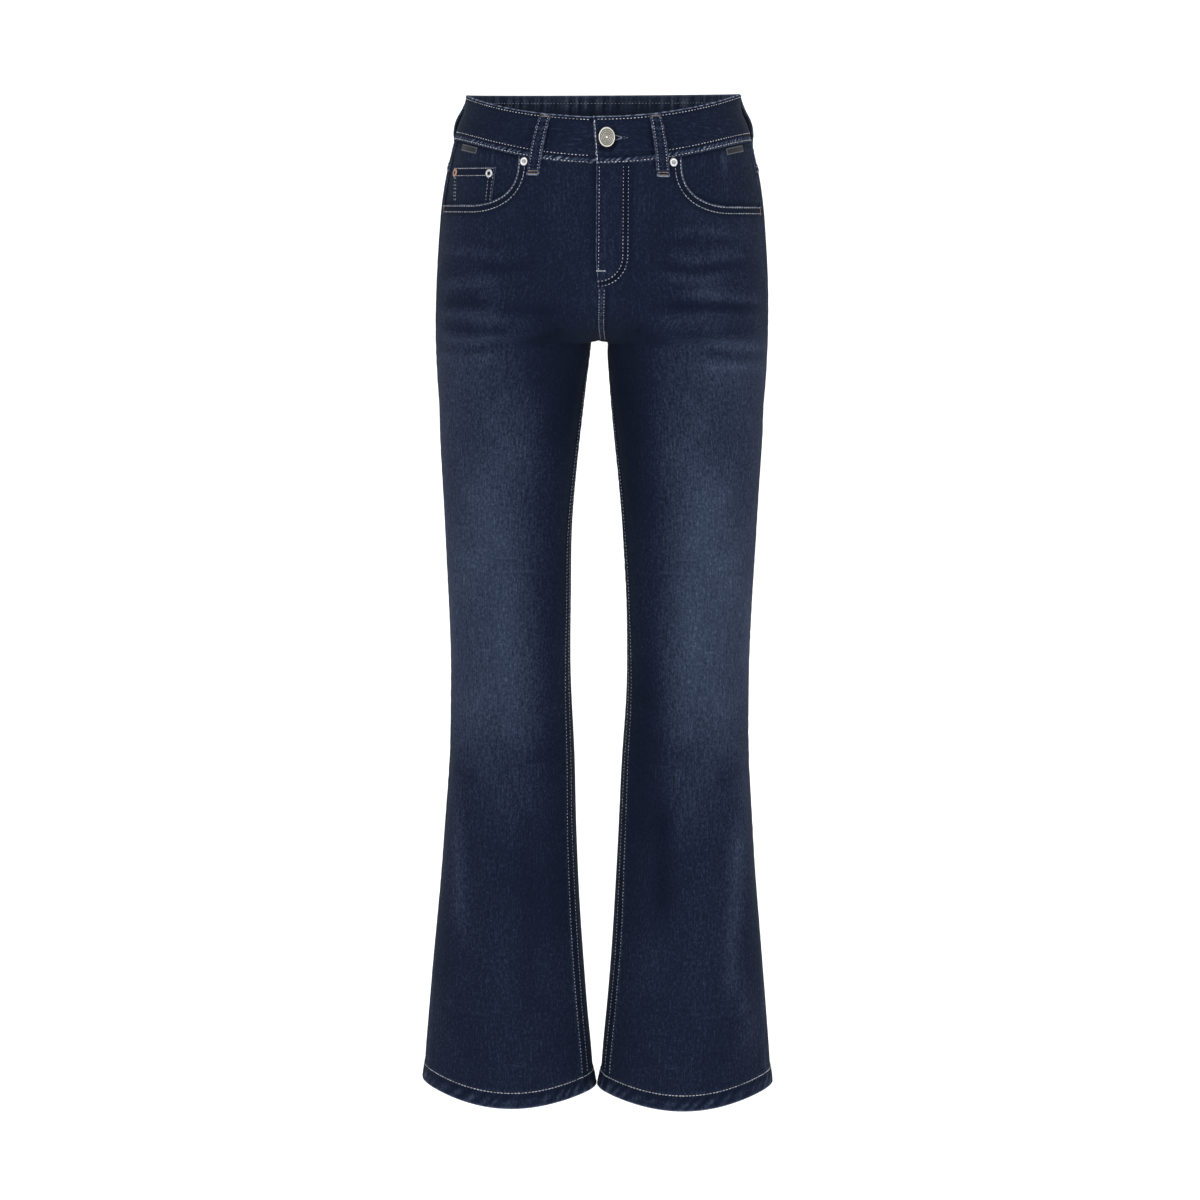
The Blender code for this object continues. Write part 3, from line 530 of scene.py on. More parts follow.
def seam_relief(side, where, psi, z):
    """Height and wear that the seams add at a point of a leg panel."""
    inner, outer = end_angles(z, where, side)
    speed = cloth_per_radian(psi, z)
    d_in = np.abs(psi - inner) * speed
    d_out = np.abs(psi - outer) * speed
    below = smooth_step((CROTCH_Z - 0.004 - z) / 0.012)
    seed = 1.0 + 0.6 * side + (2.0 if where == "back" else 0.0)
    height = np.zeros(np.broadcast(psi, z).shape)
    wear = np.zeros(height.shape)
    # inner leg seam: the front lies on top, raised and double stitched
    near = bell(d_in / 0.016)
    ripple = pucker(z + 0.35 * d_in, 0.0125, seed)
    height += below * near * 0.00022 * ripple
    wear += below * near * 0.16 * ripple
    if where == "front":
        height += below * (FELL_TALL * strip(d_in, FELL_WIDTH) - 0.9 * edge_roll(d_in, 0.0009))
        height -= below * 0.00035 * furrows(d_in, FELL_ROWS)
        wear += below * 0.42 * furrow(d_in - 0.0004, 0.0010)
        wear += below * 0.22 * furrow(d_in - FELL_WIDTH, 0.0012)
        wear -= below * 0.25 * furrow(d_in - 0.0066, 0.0030)
    else:
        height -= below * 0.0003 * furrow(d_in, 0.0015)
    # outer seam: pressed open, its allowances show through as a soft step each side
    groove = 0.0006 * furrow(d_out, 0.0013)
    height += 0.00035 * strip(d_out, OUTSEAM_ALLOWANCE, 0.003) - groove
    ripple = pucker(z, 0.016, seed + 0.9)
    height += 0.00016 * ripple * bell(d_out / 0.012)
    wear += 0.34 * furrow(d_out - 0.0016, 0.0012) + 0.10 * ripple * bell(d_out / 0.006)
    # centre seams above the crotch: felled towards the wearer's left, of even width in x
    above = 1 - smooth_step((CROTCH_Z + 0.002 - z) / 0.010)
    fly = smooth_step((z - FLY_BOTTOM_Z + 0.002) / 0.004) if where == "front" else 0.0
    plain = above * (1 - fly)
    if side == LEFT:
        d_mid = body(psi, z)[..., 0]
        height += plain * (0.0007 * strip(d_mid, CENTRE_WIDTH) - 0.8 * edge_roll(d_in, 0.0008))
        height -= plain * 0.0003 * furrows(d_mid, CENTRE_ROWS)
        wear += plain * 0.34 * furrow(d_mid - 0.0036, 0.0018) * (0.8 + pucker(z, 0.0065, 2.2))
        wear += plain * 0.30 * furrow(d_in - 0.0003, 0.0007)
        wear -= plain * 0.30 * furrow(d_mid - 0.0090, 0.0014)
    else:
        height -= plain * 0.0004 * furrow(d_in, 0.0014)
    height += plain * 0.00018 * pucker(z, 0.011, 1.4) * bell(d_in / 0.010)
    return height, wear


def fly_relief(side, psi, z):
    """The left front's doubled fly: a raised field inside the curved rows, its edge rolled.
    On the right front, a shallow dip with a painted shadow beside the lap's edge.
    """
    x = body(psi, z)[..., 0]
    if side == RIGHT:
        from_edge = x - FLY_OVERLAP
        on = smooth_step((z - FLY_BOTTOM_Z - 0.004) / 0.006)
        # the right front's dip under the lap's edge, darkened with a painted shadow of the lap
        return -0.0003 * on * furrow(from_edge, 0.004), -0.30 * on * furrow(from_edge, 0.005)
    inner, _ = end_angles(z, "front", side)
    from_edge = (psi - inner) * cloth_per_radian(psi, z)
    on = smooth_step((z - FLY_BOTTOM_Z) / 0.005)
    outer_row = fly_row_x(z, 1)
    height = on * 0.0007 * (1 - smooth_step((x - outer_row - 0.0015) / 0.002))
    height -= on * 0.9 * edge_roll(from_edge, 0.0010)
    straight = smooth_step((z - FLY_STRAIGHT_END) / 0.01)
    under_rows = furrows(x, (fly_row_x(z, 0), outer_row), 0.0010) * straight
    height -= on * 0.00030 * (under_rows + furrow(x, 0.0010))
    height += on * 0.00022 * pucker(z, 0.013, 0.4) * bell((x - 0.026) / 0.007)
    wear = on * 0.92 * furrow(from_edge - 0.0004, 0.0008) * (0.85 + 0.35 * pucker(z, 0.0072, 2.0))
    between = smooth_step((x - fly_row_x(z, 0)) / 0.0010) * smooth_step((outer_row - x) / 0.0010)
    wear -= on * 0.45 * between * (x > 0.001)
    rubbed = bell((z + 0.148) / 0.035) + 0.4 * bell((z + 0.100) / 0.020)
    wear += on * rubbed * (0.20 * furrow(x - 0.0056, 0.0016) + 0.20 * furrow(x - 0.0130, 0.0012))
    wear -= on * 0.30 * furrow(from_edge - 0.0017, 0.0007)
    wear += on * 0.16 * furrow(x - 0.0268, 0.0016) * (0.6 + 0.4 * pucker(z, 0.013, 0.4))
    wear -= on * 0.25 * furrow(x - outer_row - 0.003, 0.002)
    return height, wear


print("inner seam strip stands", FELL_TALL * 1000, "mm proud, furrows at", FELL_ROWS)

# %% The pocket mouth's curve
MOUTH_START_X, MOUTH_END_X = 0.0830, 0.1655
MOUTH_REACH = 0.050
MOUTH_CURVED = 0.72           # share of its line that is curved
MOUTH_TOP_Z = -0.064
MOUTH_DEPTH = 0.051
MOUTH_ROWS = (0.0014, 0.0074)      # stitch rows, from the mouth's folded edge


def mouth_line(share):
    """The mouth's edge from the waistband (0) to the side seam (1): a quarter of a flat
    superellipse, then level."""
    turn = np.clip(share / MOUTH_CURVED, 0, 1)
    theta = 0.5 * math.pi * turn**1.25
    x = MOUTH_START_X + MOUTH_REACH * (1 - np.cos(theta))
    level = np.clip((share - MOUTH_CURVED) / (1 - MOUTH_CURVED), 0, 1)
    x = x + (MOUTH_END_X - MOUTH_START_X - MOUTH_REACH) * level
    z = MOUTH_TOP_Z - MOUTH_DEPTH * np.sin(theta) ** (2 / 3)
    return x, z


def mouth_z(x, margin=0.0):
    share = np.clip((x - MOUTH_START_X + margin) / (MOUTH_REACH + margin), 0, 1)
    return MOUTH_TOP_Z - (MOUTH_DEPTH + margin) * (1 - (1 - share) ** 2) ** (1 / 3)


HIP_GRID = np.linspace(0, 0.168, 200)


def run_along(points):
    """Distance along a line of points, from its start."""
    return np.concatenate([[0], np.cumsum(np.linalg.norm(np.diff(points, axis=0), axis=1))])


def stretch(x):
    """Distance over the cloth from the centre line at pocket height, so that a margin
    measured on the cloth stays even where the hip turns away."""
    return np.interp(x, HIP_GRID, run_along(body(angle_at_x(HIP_GRID, -0.09), -0.09)))


def unstretch(run):
    return np.interp(run, stretch(HIP_GRID), HIP_GRID)


def mouth_offset_line(distance, count=160):
    """The mouth's line moved out along its own normal by a distance on the cloth."""
    x, z = mouth_line(np.linspace(0, 1, count))
    run = stretch(x)
    dr, dz = np.gradient(run), np.gradient(z)
    size = np.hypot(dr, dz)
    return unstretch(run + dz / size * distance), z - dr / size * distance


def mouth_distance(psi, z):
    """Distance from a point to the mouth's line, within 25 mm of it."""
    x = body(psi, z)[..., 0]
    line_x, line_z = mouth_line(np.linspace(0, 1, 90))
    near = (z > -0.150) & (z < -0.045) & (x > 0.060)
    out = np.full(np.broadcast(psi, z).shape, 1.0)
    run, high = stretch(x[near]), z[near]
    gaps = np.hypot(run[:, None] - stretch(line_x)[None, :], high[:, None] - line_z[None, :])
    out[near] = gaps.min(axis=1) if gaps.size else 1.0
    return out


def mouth_relief(psi, z):
    """The turned-in mouth: a doubled strip, rolled at the edge, with two furrows."""
    d = mouth_distance(psi, z)
    height = 0.0006 * strip(d, 0.0092, 0.002) - 0.8 * edge_roll(d, 0.0009)
    height -= 0.0003 * furrows(d, MOUTH_ROWS)
    wear = 0.84 * furrow(d - 0.0003, 0.0009) - 0.34 * furrow(d - 0.0045, 0.0018)
    wear -= 0.22 * furrow(d - 0.0098, 0.0018)
    return height, wear


print("mouth ends at", np.round(mouth_line(np.array([1.0])), 4).ravel())

# %% Placing points on the cloth
def float_grids(psi, z):
    return np.broadcast_arrays(np.asarray(psi, float), np.asarray(z, float))


def cloth_height(side, psi, z):
    """What is pressed into the cloth under a layer: creases and waves, calm near the waist."""
    psi, z = float_grids(psi, z)
    height = crease_shapes(side, psi, z)[0] + slow_waves(side, psi, z)
    from_centre = np.abs(body(psi, z)[..., 0])
    calm = smooth_step((CROTCH_Z + 0.12 - z) / 0.08 + from_centre / 0.05)
    return height * smooth_step((-0.050 - z) / 0.03) * calm


def seam_work(side, where, psi, z):
    """Height that the sewing adds on the face, and the fading of creases and sewing,
    with their painted shade and painted highlights.
    """
    psi, z = float_grids(psi, z)
    height, wear = seam_relief(side, where, psi, z)
    wear = wear + crease_shapes(side, psi, z)[1] + leg_fade(side, psi, z)
    if where == "front":
        for extra in (fly_relief(side, psi, z), mouth_relief(psi, z)):
            height = height + extra[0]
            wear = wear + extra[1]
    return height, wear


def mirrored(vectors, side):
    return vectors * np.array([side, 1.0, 1.0])


def place(side, psi, z, lift):
    """Points that stand out from the body by lift, on the right or left half."""
    psi, z = float_grids(psi, z)
    lift = np.broadcast_to(lift, psi.shape)
    return to_side(body(psi, z) + body_normal(psi, z) * lift[..., None], side, psi)


def face_line(side, psi, z, lift):
    """A line of points over the body, with their outward normals."""
    return place(side, psi, z, lift), mirrored(body_normal(psi, z), side)


print("a point of the left knee:", np.round(place(LEFT, 1.6, -0.6, 0.0), 4))

# %% [markdown]
# ## Denim
# Denim is a twill: dark blue threads run down the cloth over white ones, and show as fine
# slanting lines with uneven, slubby streaks.  Rubbed places lose the blue.  An image would
# stretch over the seams, so the cloth is a shader on the pieces' own cloth coordinates,
# which are real metres along and across the threads.

# %% Shader helpers
def new_group(name, inputs, outputs):
    group = bpy.data.node_groups.new(name, "ShaderNodeTree")
    for title, kind, value in inputs:
        made = group.interface.new_socket(name=title, in_out="INPUT", socket_type=kind)
        made.default_value = value
    for title, kind in outputs:
        group.interface.new_socket(name=title, in_out="OUTPUT", socket_type=kind)
    return group, group.nodes.new("NodeGroupInput"), group.nodes.new("NodeGroupOutput")


def wire(tree, value, target):
    """Link a socket to a target, or set the target's own value."""
    if isinstance(value, (int, float)):
        target.default_value = value
    else:
        tree.links.new(value, target)


def calc(tree, operation, a, b=0.0, clamp=False):
    made = tree.nodes.new("ShaderNodeMath")
    made.operation = operation
    made.use_clamp = clamp
    wire(tree, a, made.inputs[0])
    wire(tree, b, made.inputs[1])
    return made.outputs[0]


def weighted(tree, start, *parts):
    """start plus each part times its share."""
    for part, share in parts:
        start = calc(tree, "ADD", start, calc(tree, "MULTIPLY", part, share))
    return start


def noise(tree, vector, sizes, detail=2.0, rough=0.5):
    """Noise with so many waves to the metre each way."""
    scaled = tree.nodes.new("ShaderNodeVectorMath")
    scaled.operation = "MULTIPLY"
    tree.links.new(vector, scaled.inputs[0])
    scaled.inputs[1].default_value = sizes
    made = tree.nodes.new("ShaderNodeTexNoise")
    made.inputs["Scale"].default_value = 1.0
    made.inputs["Detail"].default_value = detail
    made.inputs["Roughness"].default_value = rough
    tree.links.new(scaled.outputs[0], made.inputs["Vector"])
    return made.outputs["Fac"]


def attribute(tree, name):
    made = tree.nodes.new("ShaderNodeAttribute")
    made.attribute_name = name
    return made.outputs["Fac"]


def new_material(name, sockets):
    """A material, its tree and its shader, with the shader's own sockets set."""
    material = bpy.data.materials.new(name)
    material.use_nodes = True
    tree = material.node_tree
    shader = tree.nodes["Principled BSDF"]
    for title, value in sockets.items():
        shader.inputs[title].default_value = value
    return material, tree, shader


def add_bump(tree, shader, height, strength, distance):
    bump = tree.nodes.new("ShaderNodeBump")
    bump.inputs["Strength"].default_value = strength
    bump.inputs["Distance"].default_value = distance
    tree.links.new(height, bump.inputs["Height"])
    tree.links.new(bump.outputs["Normal"], shader.inputs["Normal"])


def ramp(tree, factor, stops):
    made = tree.nodes.new("ShaderNodeValToRGB")
    band = made.color_ramp
    while len(band.elements) < len(stops):
        band.elements.new(0.5)
    for element, (position, colour) in zip(band.elements, stops):
        element.position = position
        element.color = (*colour, 1.0)
    tree.links.new(factor, made.inputs["Fac"])
    return made.outputs["Color"]


def srgb(r, g, b):
    """8-bit display colour to the linear values that shaders take."""
    c = np.array([r, g, b]) / 255.0
    c = np.where(c <= 0.04045, c / 12.92, ((c + 0.055) / 1.055) ** 2.4)
    return tuple(float(v) for v in c)


print("indigo:", np.round(srgb(27, 36, 60), 4))

# %% The twill group
def make_twill_group():
    """Colour, roughness and height of worn twill from cloth coordinates in metres."""
    group, source, result = new_group(
        "worn_twill",
        [("Wear_and_shade", "NodeSocketFloat", 0.0), ("Reverse", "NodeSocketFloat", 0.0)],
        [("Color", "NodeSocketColor"), ("Roughness", "NodeSocketFloat"),
         ("Height", "NodeSocketFloat")])
    cloth = group.nodes.new("ShaderNodeUVMap")
    cloth.uv_map = "cloth"
    uv = cloth.outputs["UV"]
    split = group.nodes.new("ShaderNodeSeparateXYZ")
    group.links.new(uv, split.inputs[0])
    wander = noise(group, uv, (260.0, 60.0, 1.0), 1.0)
    slant = weighted(group, 0.0, (split.outputs[0], 5700.0), (split.outputs[1], 3900.0),
                     (wander, 9.0))
    twill = calc(group, "MULTIPLY", calc(group, "SINE", slant), 0.5)
    slub = noise(group, uv, (520.0, 40.0, 1.0), 2.0, 0.6)
    streak = noise(group, uv, (900.0, 130.0, 1.0), 2.0, 0.6)
    mottle = noise(group, uv, (400.0, 270.0, 1.0), 2.0, 0.7)
    cloud = noise(group, uv, (14.0, 9.0, 1.0), 4.0, 0.55)
    grain = noise(group, uv, (900.0, 700.0, 1.0), 2.0, 0.7)
    # the input holds real fading and painted shade and highlights alike
    tone = calc(group, "ADD", source.outputs["Wear_and_shade"], -0.05)
    shares = ((slub, 0.60), (streak, 0.62), (mottle, 1.05), (cloud, 0.50), (grain, 0.84))
    centred = [(calc(group, "SUBTRACT", part, 0.5), share) for part, share in shares]
    tone = weighted(group, tone, *centred, (twill, 0.12))
    shade = calc(group, "ADD", calc(group, "MULTIPLY", tone, 0.5), 0.5, clamp=True)
    face = ramp(group, shade, (
        (0.15, srgb(5, 11, 27)), (0.5, srgb(17, 26, 45)), (0.72, srgb(44, 53, 73)),
        (0.88, srgb(66, 76, 97)), (1.0, srgb(122, 130, 146))))
    back = ramp(group, shade, ((0.0, srgb(30, 38, 58)), (0.5, srgb(74, 84, 104)),
                               (1.0, srgb(130, 140, 156))))
    mix = group.nodes.new("ShaderNodeMix")
    mix.data_type = "RGBA"
    group.links.new(source.outputs["Reverse"], mix.inputs[0])
    group.links.new(face, mix.inputs[6])
    group.links.new(back, mix.inputs[7])
    group.links.new(mix.outputs[2], result.inputs["Color"])
    group.links.new(weighted(group, 0.80, (slub, 0.16)), result.inputs["Roughness"])
    height = weighted(group, 0.0, (twill, 0.30), (streak, 0.55), (grain, 0.7))
    group.links.new(height, result.inputs["Height"])
    return group


TWILL = make_twill_group()


def denim_material(name):
    """Worn twill in a matt shader with a faint nap."""
    material, tree, shader = new_material(name, {
        "Specular IOR Level": 0.08, "Sheen Weight": 0.012, "Sheen Roughness": 0.5,
        "Sheen Tint": (0.72, 0.82, 1.0, 1.0)})
    twill = tree.nodes.new("ShaderNodeGroup")
    twill.node_tree = TWILL
    tree.links.new(attribute(tree, "wear"), twill.inputs["Wear_and_shade"])
    tree.links.new(attribute(tree, "reverse"), twill.inputs["Reverse"])
    tree.links.new(twill.outputs["Color"], shader.inputs["Base Color"])
    tree.links.new(twill.outputs["Roughness"], shader.inputs["Roughness"])
    add_bump(tree, shader, twill.outputs["Height"], 0.55, 0.0004)
    return material


DENIM = denim_material("denim")
print("cloth material:", DENIM.name)

# %% [markdown]
# ## Turning grids into cloth
# A piece is two grids of points, the cloth's face and its reverse, joined round the rim.
# Solidify could give the wall, but two worked-out grids keep it exact at the seams and let
# a hem or a waistband be thicker than the rest.

# %% A thin shell from two grids
PIECES = {}


def ring_of(rows, cols):
    """Indices round a grid's rim, in order."""
    top = np.arange(cols)
    right = np.arange(1, rows) * cols + cols - 1
    bottom = (rows - 1) * cols + np.arange(cols - 2, -1, -1)
    left = np.arange(rows - 2, 0, -1) * cols
    return np.concatenate([top, right, bottom, left])


def volume_of(verts, faces):
    """Six times the signed volume: the sum of triple products over fans."""
    p = verts[faces[:, 0]]
    first = np.einsum("ij,ij->i", p, np.cross(verts[faces[:, 1]], verts[faces[:, 2]]))
    second = np.einsum("ij,ij->i", p, np.cross(verts[faces[:, 2]], verts[faces[:, 3]]))
    return (first + second).sum()


def new_object(name, verts, faces, material):
    """A smooth mesh object of one material."""
    mesh = bpy.data.meshes.new(name)
    mesh.from_pydata(verts.tolist(), [], faces)
    mesh.materials.append(material)
    mesh.polygons.foreach_set("use_smooth", np.ones(len(mesh.polygons), bool))
    mesh.update()
    obj = bpy.data.objects.new(name, mesh)
    bpy.context.collection.objects.link(obj)
    return obj


def put_mesh(name, verts, faces, material):
    obj = new_object(name, verts, faces, material)
    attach(obj, "root")
    return obj


def point_values(mesh, name, values):
    layer = mesh.attributes.new(name, "FLOAT", "POINT")
    layer.data.foreach_set("value", np.asarray(values, np.float32))


def shell_mesh(name, outside, inside, uv, wear, material, reverse=1.0, wear_inside=None):
    """Closed shell of two grids; uv is the cloth's own metres, and the values after it are the
    face's fading with its painted shade and highlights.
    """
    rows, cols = outside.shape[:2]
    count = rows * cols
    verts = np.concatenate([outside.reshape(-1, 3), inside.reshape(-1, 3)])
    i, j = np.mgrid[0:rows - 1, 0:cols - 1]
    a = (i * cols + j).ravel()
    face = np.stack([a, a + 1, a + cols + 1, a + cols], axis=1)
    ring = ring_of(rows, cols)
    after = np.roll(ring, -1)
    rim = np.stack([after, ring, ring + count, after + count], axis=1)
    faces = np.concatenate([face, face[:, ::-1] + count, rim])
    if volume_of(verts, faces) < 0:
        faces = faces[:, ::-1]
    obj = put_mesh(name, verts, faces.tolist(), material)
    mesh = obj.data
    layer = mesh.uv_layers.new(name="cloth")
    corner = np.empty(len(mesh.loops), np.int64)
    mesh.loops.foreach_get("vertex_index", corner)
    flat_uv = np.concatenate([uv.reshape(-1, 2)] * 2).astype(np.float32)
    layer.data.foreach_set("uv", flat_uv[corner].ravel())
    wear_and_shade_pairs = (wear, wear if wear_inside is None else wear_inside)
    both = [np.broadcast_to(values, (rows, cols)).ravel() for values in wear_and_shade_pairs]
    point_values(mesh, "wear", np.concatenate(both))
    point_values(mesh, "reverse", np.concatenate([np.zeros(count), np.full(count, reverse)]))
    ends = np.empty(len(mesh.edges) * 2, np.int64)
    mesh.edges.foreach_get("vertices", ends)
    ends = np.sort(ends.reshape(-1, 2), axis=1)
    total = len(verts)
    pairs = np.sort(np.stack([ring, after], axis=1), axis=1)
    keys = np.concatenate([pairs[:, 0] * total + pairs[:, 1],
                           (pairs[:, 0] + count) * total + pairs[:, 1] + count])
    sharp = np.isin(ends[:, 0] * total + ends[:, 1], keys)
    mesh.attributes.new("sharp_edge", "BOOLEAN", "EDGE").data.foreach_set("value", sharp)
    return obj


def cloth_shell(name, outside, inside, uv, wear, **more):
    """A piece of denim that stands for the CAD node of its own name, measured for its cut."""
    obj = shell_mesh(name, outside, inside, uv, wear, DENIM, **more)
    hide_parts(name)
    steps = np.linalg.norm(np.diff(outside, axis=1), axis=2).sum(axis=1)
    falls = np.linalg.norm(np.diff(outside, axis=0), axis=2).sum(axis=0)
    quads = np.cross(outside[1:, 1:] - outside[:-1, :-1], outside[1:, :-1] - outside[:-1, 1:])
    area = 0.5 * np.linalg.norm(quads, axis=2).sum()
    PIECES[name] = (obj, float(steps.max()), float(falls.max()), float(area))
    print(f"{name}: {2 * len(obj.data.polygons)} triangles,",
          f"{steps.max():.3f} x {falls.max():.3f} m, {area:.4f} m2")


def along_rows(points):
    """Distance along each row of a grid, from its middle column."""
    steps = np.linalg.norm(np.diff(points, axis=1), axis=2)
    run = np.concatenate([np.zeros((len(points), 1)), np.cumsum(steps, axis=1)], axis=1)
    return run - run[:, points.shape[1] // 2][:, None]


def warp_down(points, z):
    return np.stack([along_rows(points), np.broadcast_to(z, points.shape[:2])], axis=-1)


def cut_piece(name, side, psi, z, face, reverse, wear):
    """A piece of cloth between two lifts over the body, its warp down the leg."""
    outside = place(side, psi, z, face)
    cloth_shell(name, outside, place(side, psi, z, reverse), warp_down(outside, z), wear)


print("shell helpers ready")

# %% [markdown]
# ## Leg panels
# Each leg is a front and a back panel.  The grid's columns crowd beside the seams, where the
# felled strip and its furrows need them, and its rows crowd in the hem.
# The front panel's top edge follows the waistband and then the scooped pocket mouth.

# %% Rows and columns of a leg panel
BESIDE_SEAM = (0, 0.0005, 0.0010, 0.0016, 0.0024, 0.0036, 0.0050, 0.0062, 0.0072, 0.0084,
               0.0098, 0.0110, 0.0118, 0.0127, 0.0136, 0.0148, 0.0170)
BESIDE_OUTSEAM = (0, 0.0006, 0.0013, 0.0022, 0.0036, 0.0060, 0.0090, 0.0120, 0.0140, 0.0165)
MIDDLE_COLUMNS = 48
LEVEL_FROM_Z = -0.133         # rows are level below this height
HEM_LEVELS = (0.0245, 0.0225, 0.0210, 0.0200, 0.0191, 0.0182, 0.0172, 0.0162, 0.0150, 0.0136,
              0.0120, 0.0104, 0.0088, 0.0072, 0.0056, 0.0040, 0.0026, 0.0014, 0.0006, 0.0)


def spread_columns(inner, outer, speed_in, speed_out):
    """Angles across a row: set distances beside both seams, even steps between them."""
    sign = np.sign(outer - inner)[:, None]
    near = inner[:, None] + sign * np.array(BESIDE_SEAM)[None, :] / speed_in[:, None]
    far = outer[:, None] - sign * np.array(BESIDE_OUTSEAM)[None, ::-1] / speed_out[:, None]
    t = np.linspace(0, 1, MIDDLE_COLUMNS + 2)[1:-1]
    middle = near[:, -1:] + (far[:, :1] - near[:, -1:]) * t[None, :]
    return np.concatenate([near, middle, far], axis=1)


def leg_rows(start):
    """Heights shared by both panels: close together where the whiskers are."""
    dense = np.arange(start, -0.300, -0.0026)
    crotch = np.array([-0.2545, -0.2556, -0.2564, -0.2572, -0.2584, -0.2597, -0.2610])
    rest = np.arange(-0.300, HEM_Z + 0.034, -0.0034)
    return np.sort(np.concatenate([dense, crotch, rest]))[::-1]


def panel_grid(where, side, top_psi_z, blend_from, blend_to):
    """psi and z of a leg panel.  The top rows run from the top edge to a level line, and
    the columns swing from the top edge's places to the even ones below it."""
    columns = len(BESIDE_SEAM) + MIDDLE_COLUMNS + len(BESIDE_OUTSEAM)
    top_place, z_top = top_psi_z(columns)
    levels = leg_rows(blend_from)
    reach = (z_top.max() - blend_from)
    steps = max(int(reach / 0.0030), 6)
    share = np.linspace(0, 1, steps + 1)[:-1]
    upper = z_top[None, :] + (blend_from - z_top)[None, :] * share[:, None]
    z = np.concatenate([upper, np.repeat(levels[:, None], columns, axis=1)])
    level_z = z.mean(axis=1)
    inner, outer = end_angles(z, where, side)
    row_in, row_out = end_angles(level_z, where, side)
    even = spread_columns(row_in, row_out, cloth_per_radian(row_in, level_z),
                          cloth_per_radian(row_out, level_z))
    even = (even - row_in[:, None]) / (row_out - row_in)[:, None]
    even = inner + (outer - inner) * even
    mixed = smooth_step((z - blend_to) / (blend_from - blend_to))
    psi = even + (top_place(z, inner, outer) - even) * mixed
    hem_in, hem_out = end_angles(np.array([HEM_Z]), where, side)
    hem_psi = spread_columns(hem_in, hem_out, cloth_per_radian(hem_in, HEM_Z),
                             cloth_per_radian(hem_out, HEM_Z))
    hem_rows = hem_z(hem_psi) + np.array(HEM_LEVELS)[:, None]
    hem_psi = np.repeat(hem_psi, len(HEM_LEVELS), axis=0)
    edge_in, edge_out = end_angles(hem_rows, where, side)
    hem_psi[:, 0], hem_psi[:, -1] = edge_in[:, 0], edge_out[:, -1]
    return np.concatenate([psi, hem_psi]), np.concatenate([z, hem_rows])


def hem_shape(side, psi, z):
    """Lift of the face, wall thickness and wear in the turned-up hem, by height above its fold:
    the face flares out to the fold, with a furrow under the stitches and roping below."""
    up = z - hem_z(psi)
    inside = strip(up, HEM_HEIGHT, 0.0008)
    arc = psi * LEG_ARC * side
    roping = pucker(arc - up * 0.9, 0.0150, 0.8 + side) * bell((up - 0.008) / 0.008)
    kick = HEM_FLARE + HEM_KICK * np.clip(np.cos(psi), 0, 1) ** 3
    flare = HEM_PROUD + kick * np.clip(1 - up / HEM_HEIGHT, 0, 1)
    lift = flare * strip(up, HEM_HEIGHT - 0.003, 0.006)
    lift = lift + inside * (0.00034 * roping - 0.0005 * furrow(up - HEM_ROW, 0.0013))
    wall = CLOTH + (HEM_WALL - CLOTH) * inside
    roll = edge_roll(up, 0.0013)
    wear = 0.36 * roping + 0.12 + 0.75 * furrow(up - 0.0004, 0.0014)
    wear = inside * (wear - 0.30 * furrow(up - 0.0135, 0.003))
    return lift - roll, wall - 1.7 * roll, wear


def panel_lift(side, where, psi, z):
    """Lift of a leg panel's face, of its reverse, and the face's fading with its painted shade."""
    hem_lift, wall, hem_wear = hem_shape(side, psi, z)
    free = smooth_step((z - hem_z(psi)) / 0.05 + 0.25)
    plain = cloth_height(side, psi, z) * free + hem_lift
    worked, wear = seam_work(side, where, psi, z)
    return plain + worked * free, plain - np.maximum(wall, 0.0004), wear + hem_wear


def make_panels(where, top, blend_to):
    """Both legs' fronts or backs: the body surface with its creases, seams and hem."""
    for side in SIDES:
        psi, z = panel_grid(where, side, top, LEVEL_FROM_Z, blend_to)
        cut_piece(f"{where}_{WORDS[side]}", side, psi, z, *panel_lift(side, where, psi, z))


print("rows down a leg:", len(leg_rows(LEVEL_FROM_Z)) + len(HEM_LEVELS))

# %% The two fronts
FRONT_EDGE_X = 0.0828         # last column under the waistband, beside the mouth's start


def front_top(columns):
    """Top edge of a front: under the waistband to the mouth, then along the mouth."""
    under_band = np.concatenate([[0, 0.0006, 0.0014, 0.0024, 0.0036, 0.0050, 0.0066],
                                 np.linspace(0.0086, FRONT_EDGE_X, 31)])
    x_mouth, _ = mouth_line(np.linspace(0, 1, columns - len(under_band) + 1)[1:])
    top_x = np.concatenate([under_band, x_mouth])
    seam = band_seam_z(angle_at_x(top_x, np.full_like(top_x, -0.06))) - 1.5 * SEAM_GAP
    z_top = np.where(top_x < MOUTH_START_X, seam, mouth_z(top_x))

    def placed(z, inner, outer):
        edge = body(inner, z)[..., 0]
        x = top_x[None, :] + edge * np.clip(1 - top_x / 0.03, 0, 1)[None, :]
        psi = np.clip(angle_at_x(x, z), inner, outer)
        psi[:, 0] = inner[:, 0]
        psi[:, -1] = outer[:, -1]
        return psi

    return placed, z_top


make_panels("front", front_top, -0.236)

# %% The two backs
def back_top(columns):
    """Top edge of a back: just under the yoke."""
    even = np.linspace(0, 1, columns)
    inner, outer = end_angles(np.full(columns, -0.10), "back", LEFT)
    z_top = yoke_seam_z(inner + (outer - inner) * even) - SEAM_GAP

    def placed(z, inner, outer):
        return inner + (outer - inner) * even[None, :]

    return placed, z_top


make_panels("back", back_top, -0.160)

# %% [markdown]
# ## Yokes, facings and pockets
# The yoke is the shaped piece between the waistband and each back, felled like the leg
# seams.  Behind each scooped mouth lies the pocket's facing, with a small coin pocket on the
# wearer's right.  They are cut from the same body, so they follow the hip without a gap.

# %% The yokes
YOKE_COLUMNS = 90
YOKE_LEVELS = (0, 0.0006, 0.0012, 0.0019, 0.0030, 0.0044, 0.0056, 0.0062, 0.0069, 0.0078,
               0.0088)


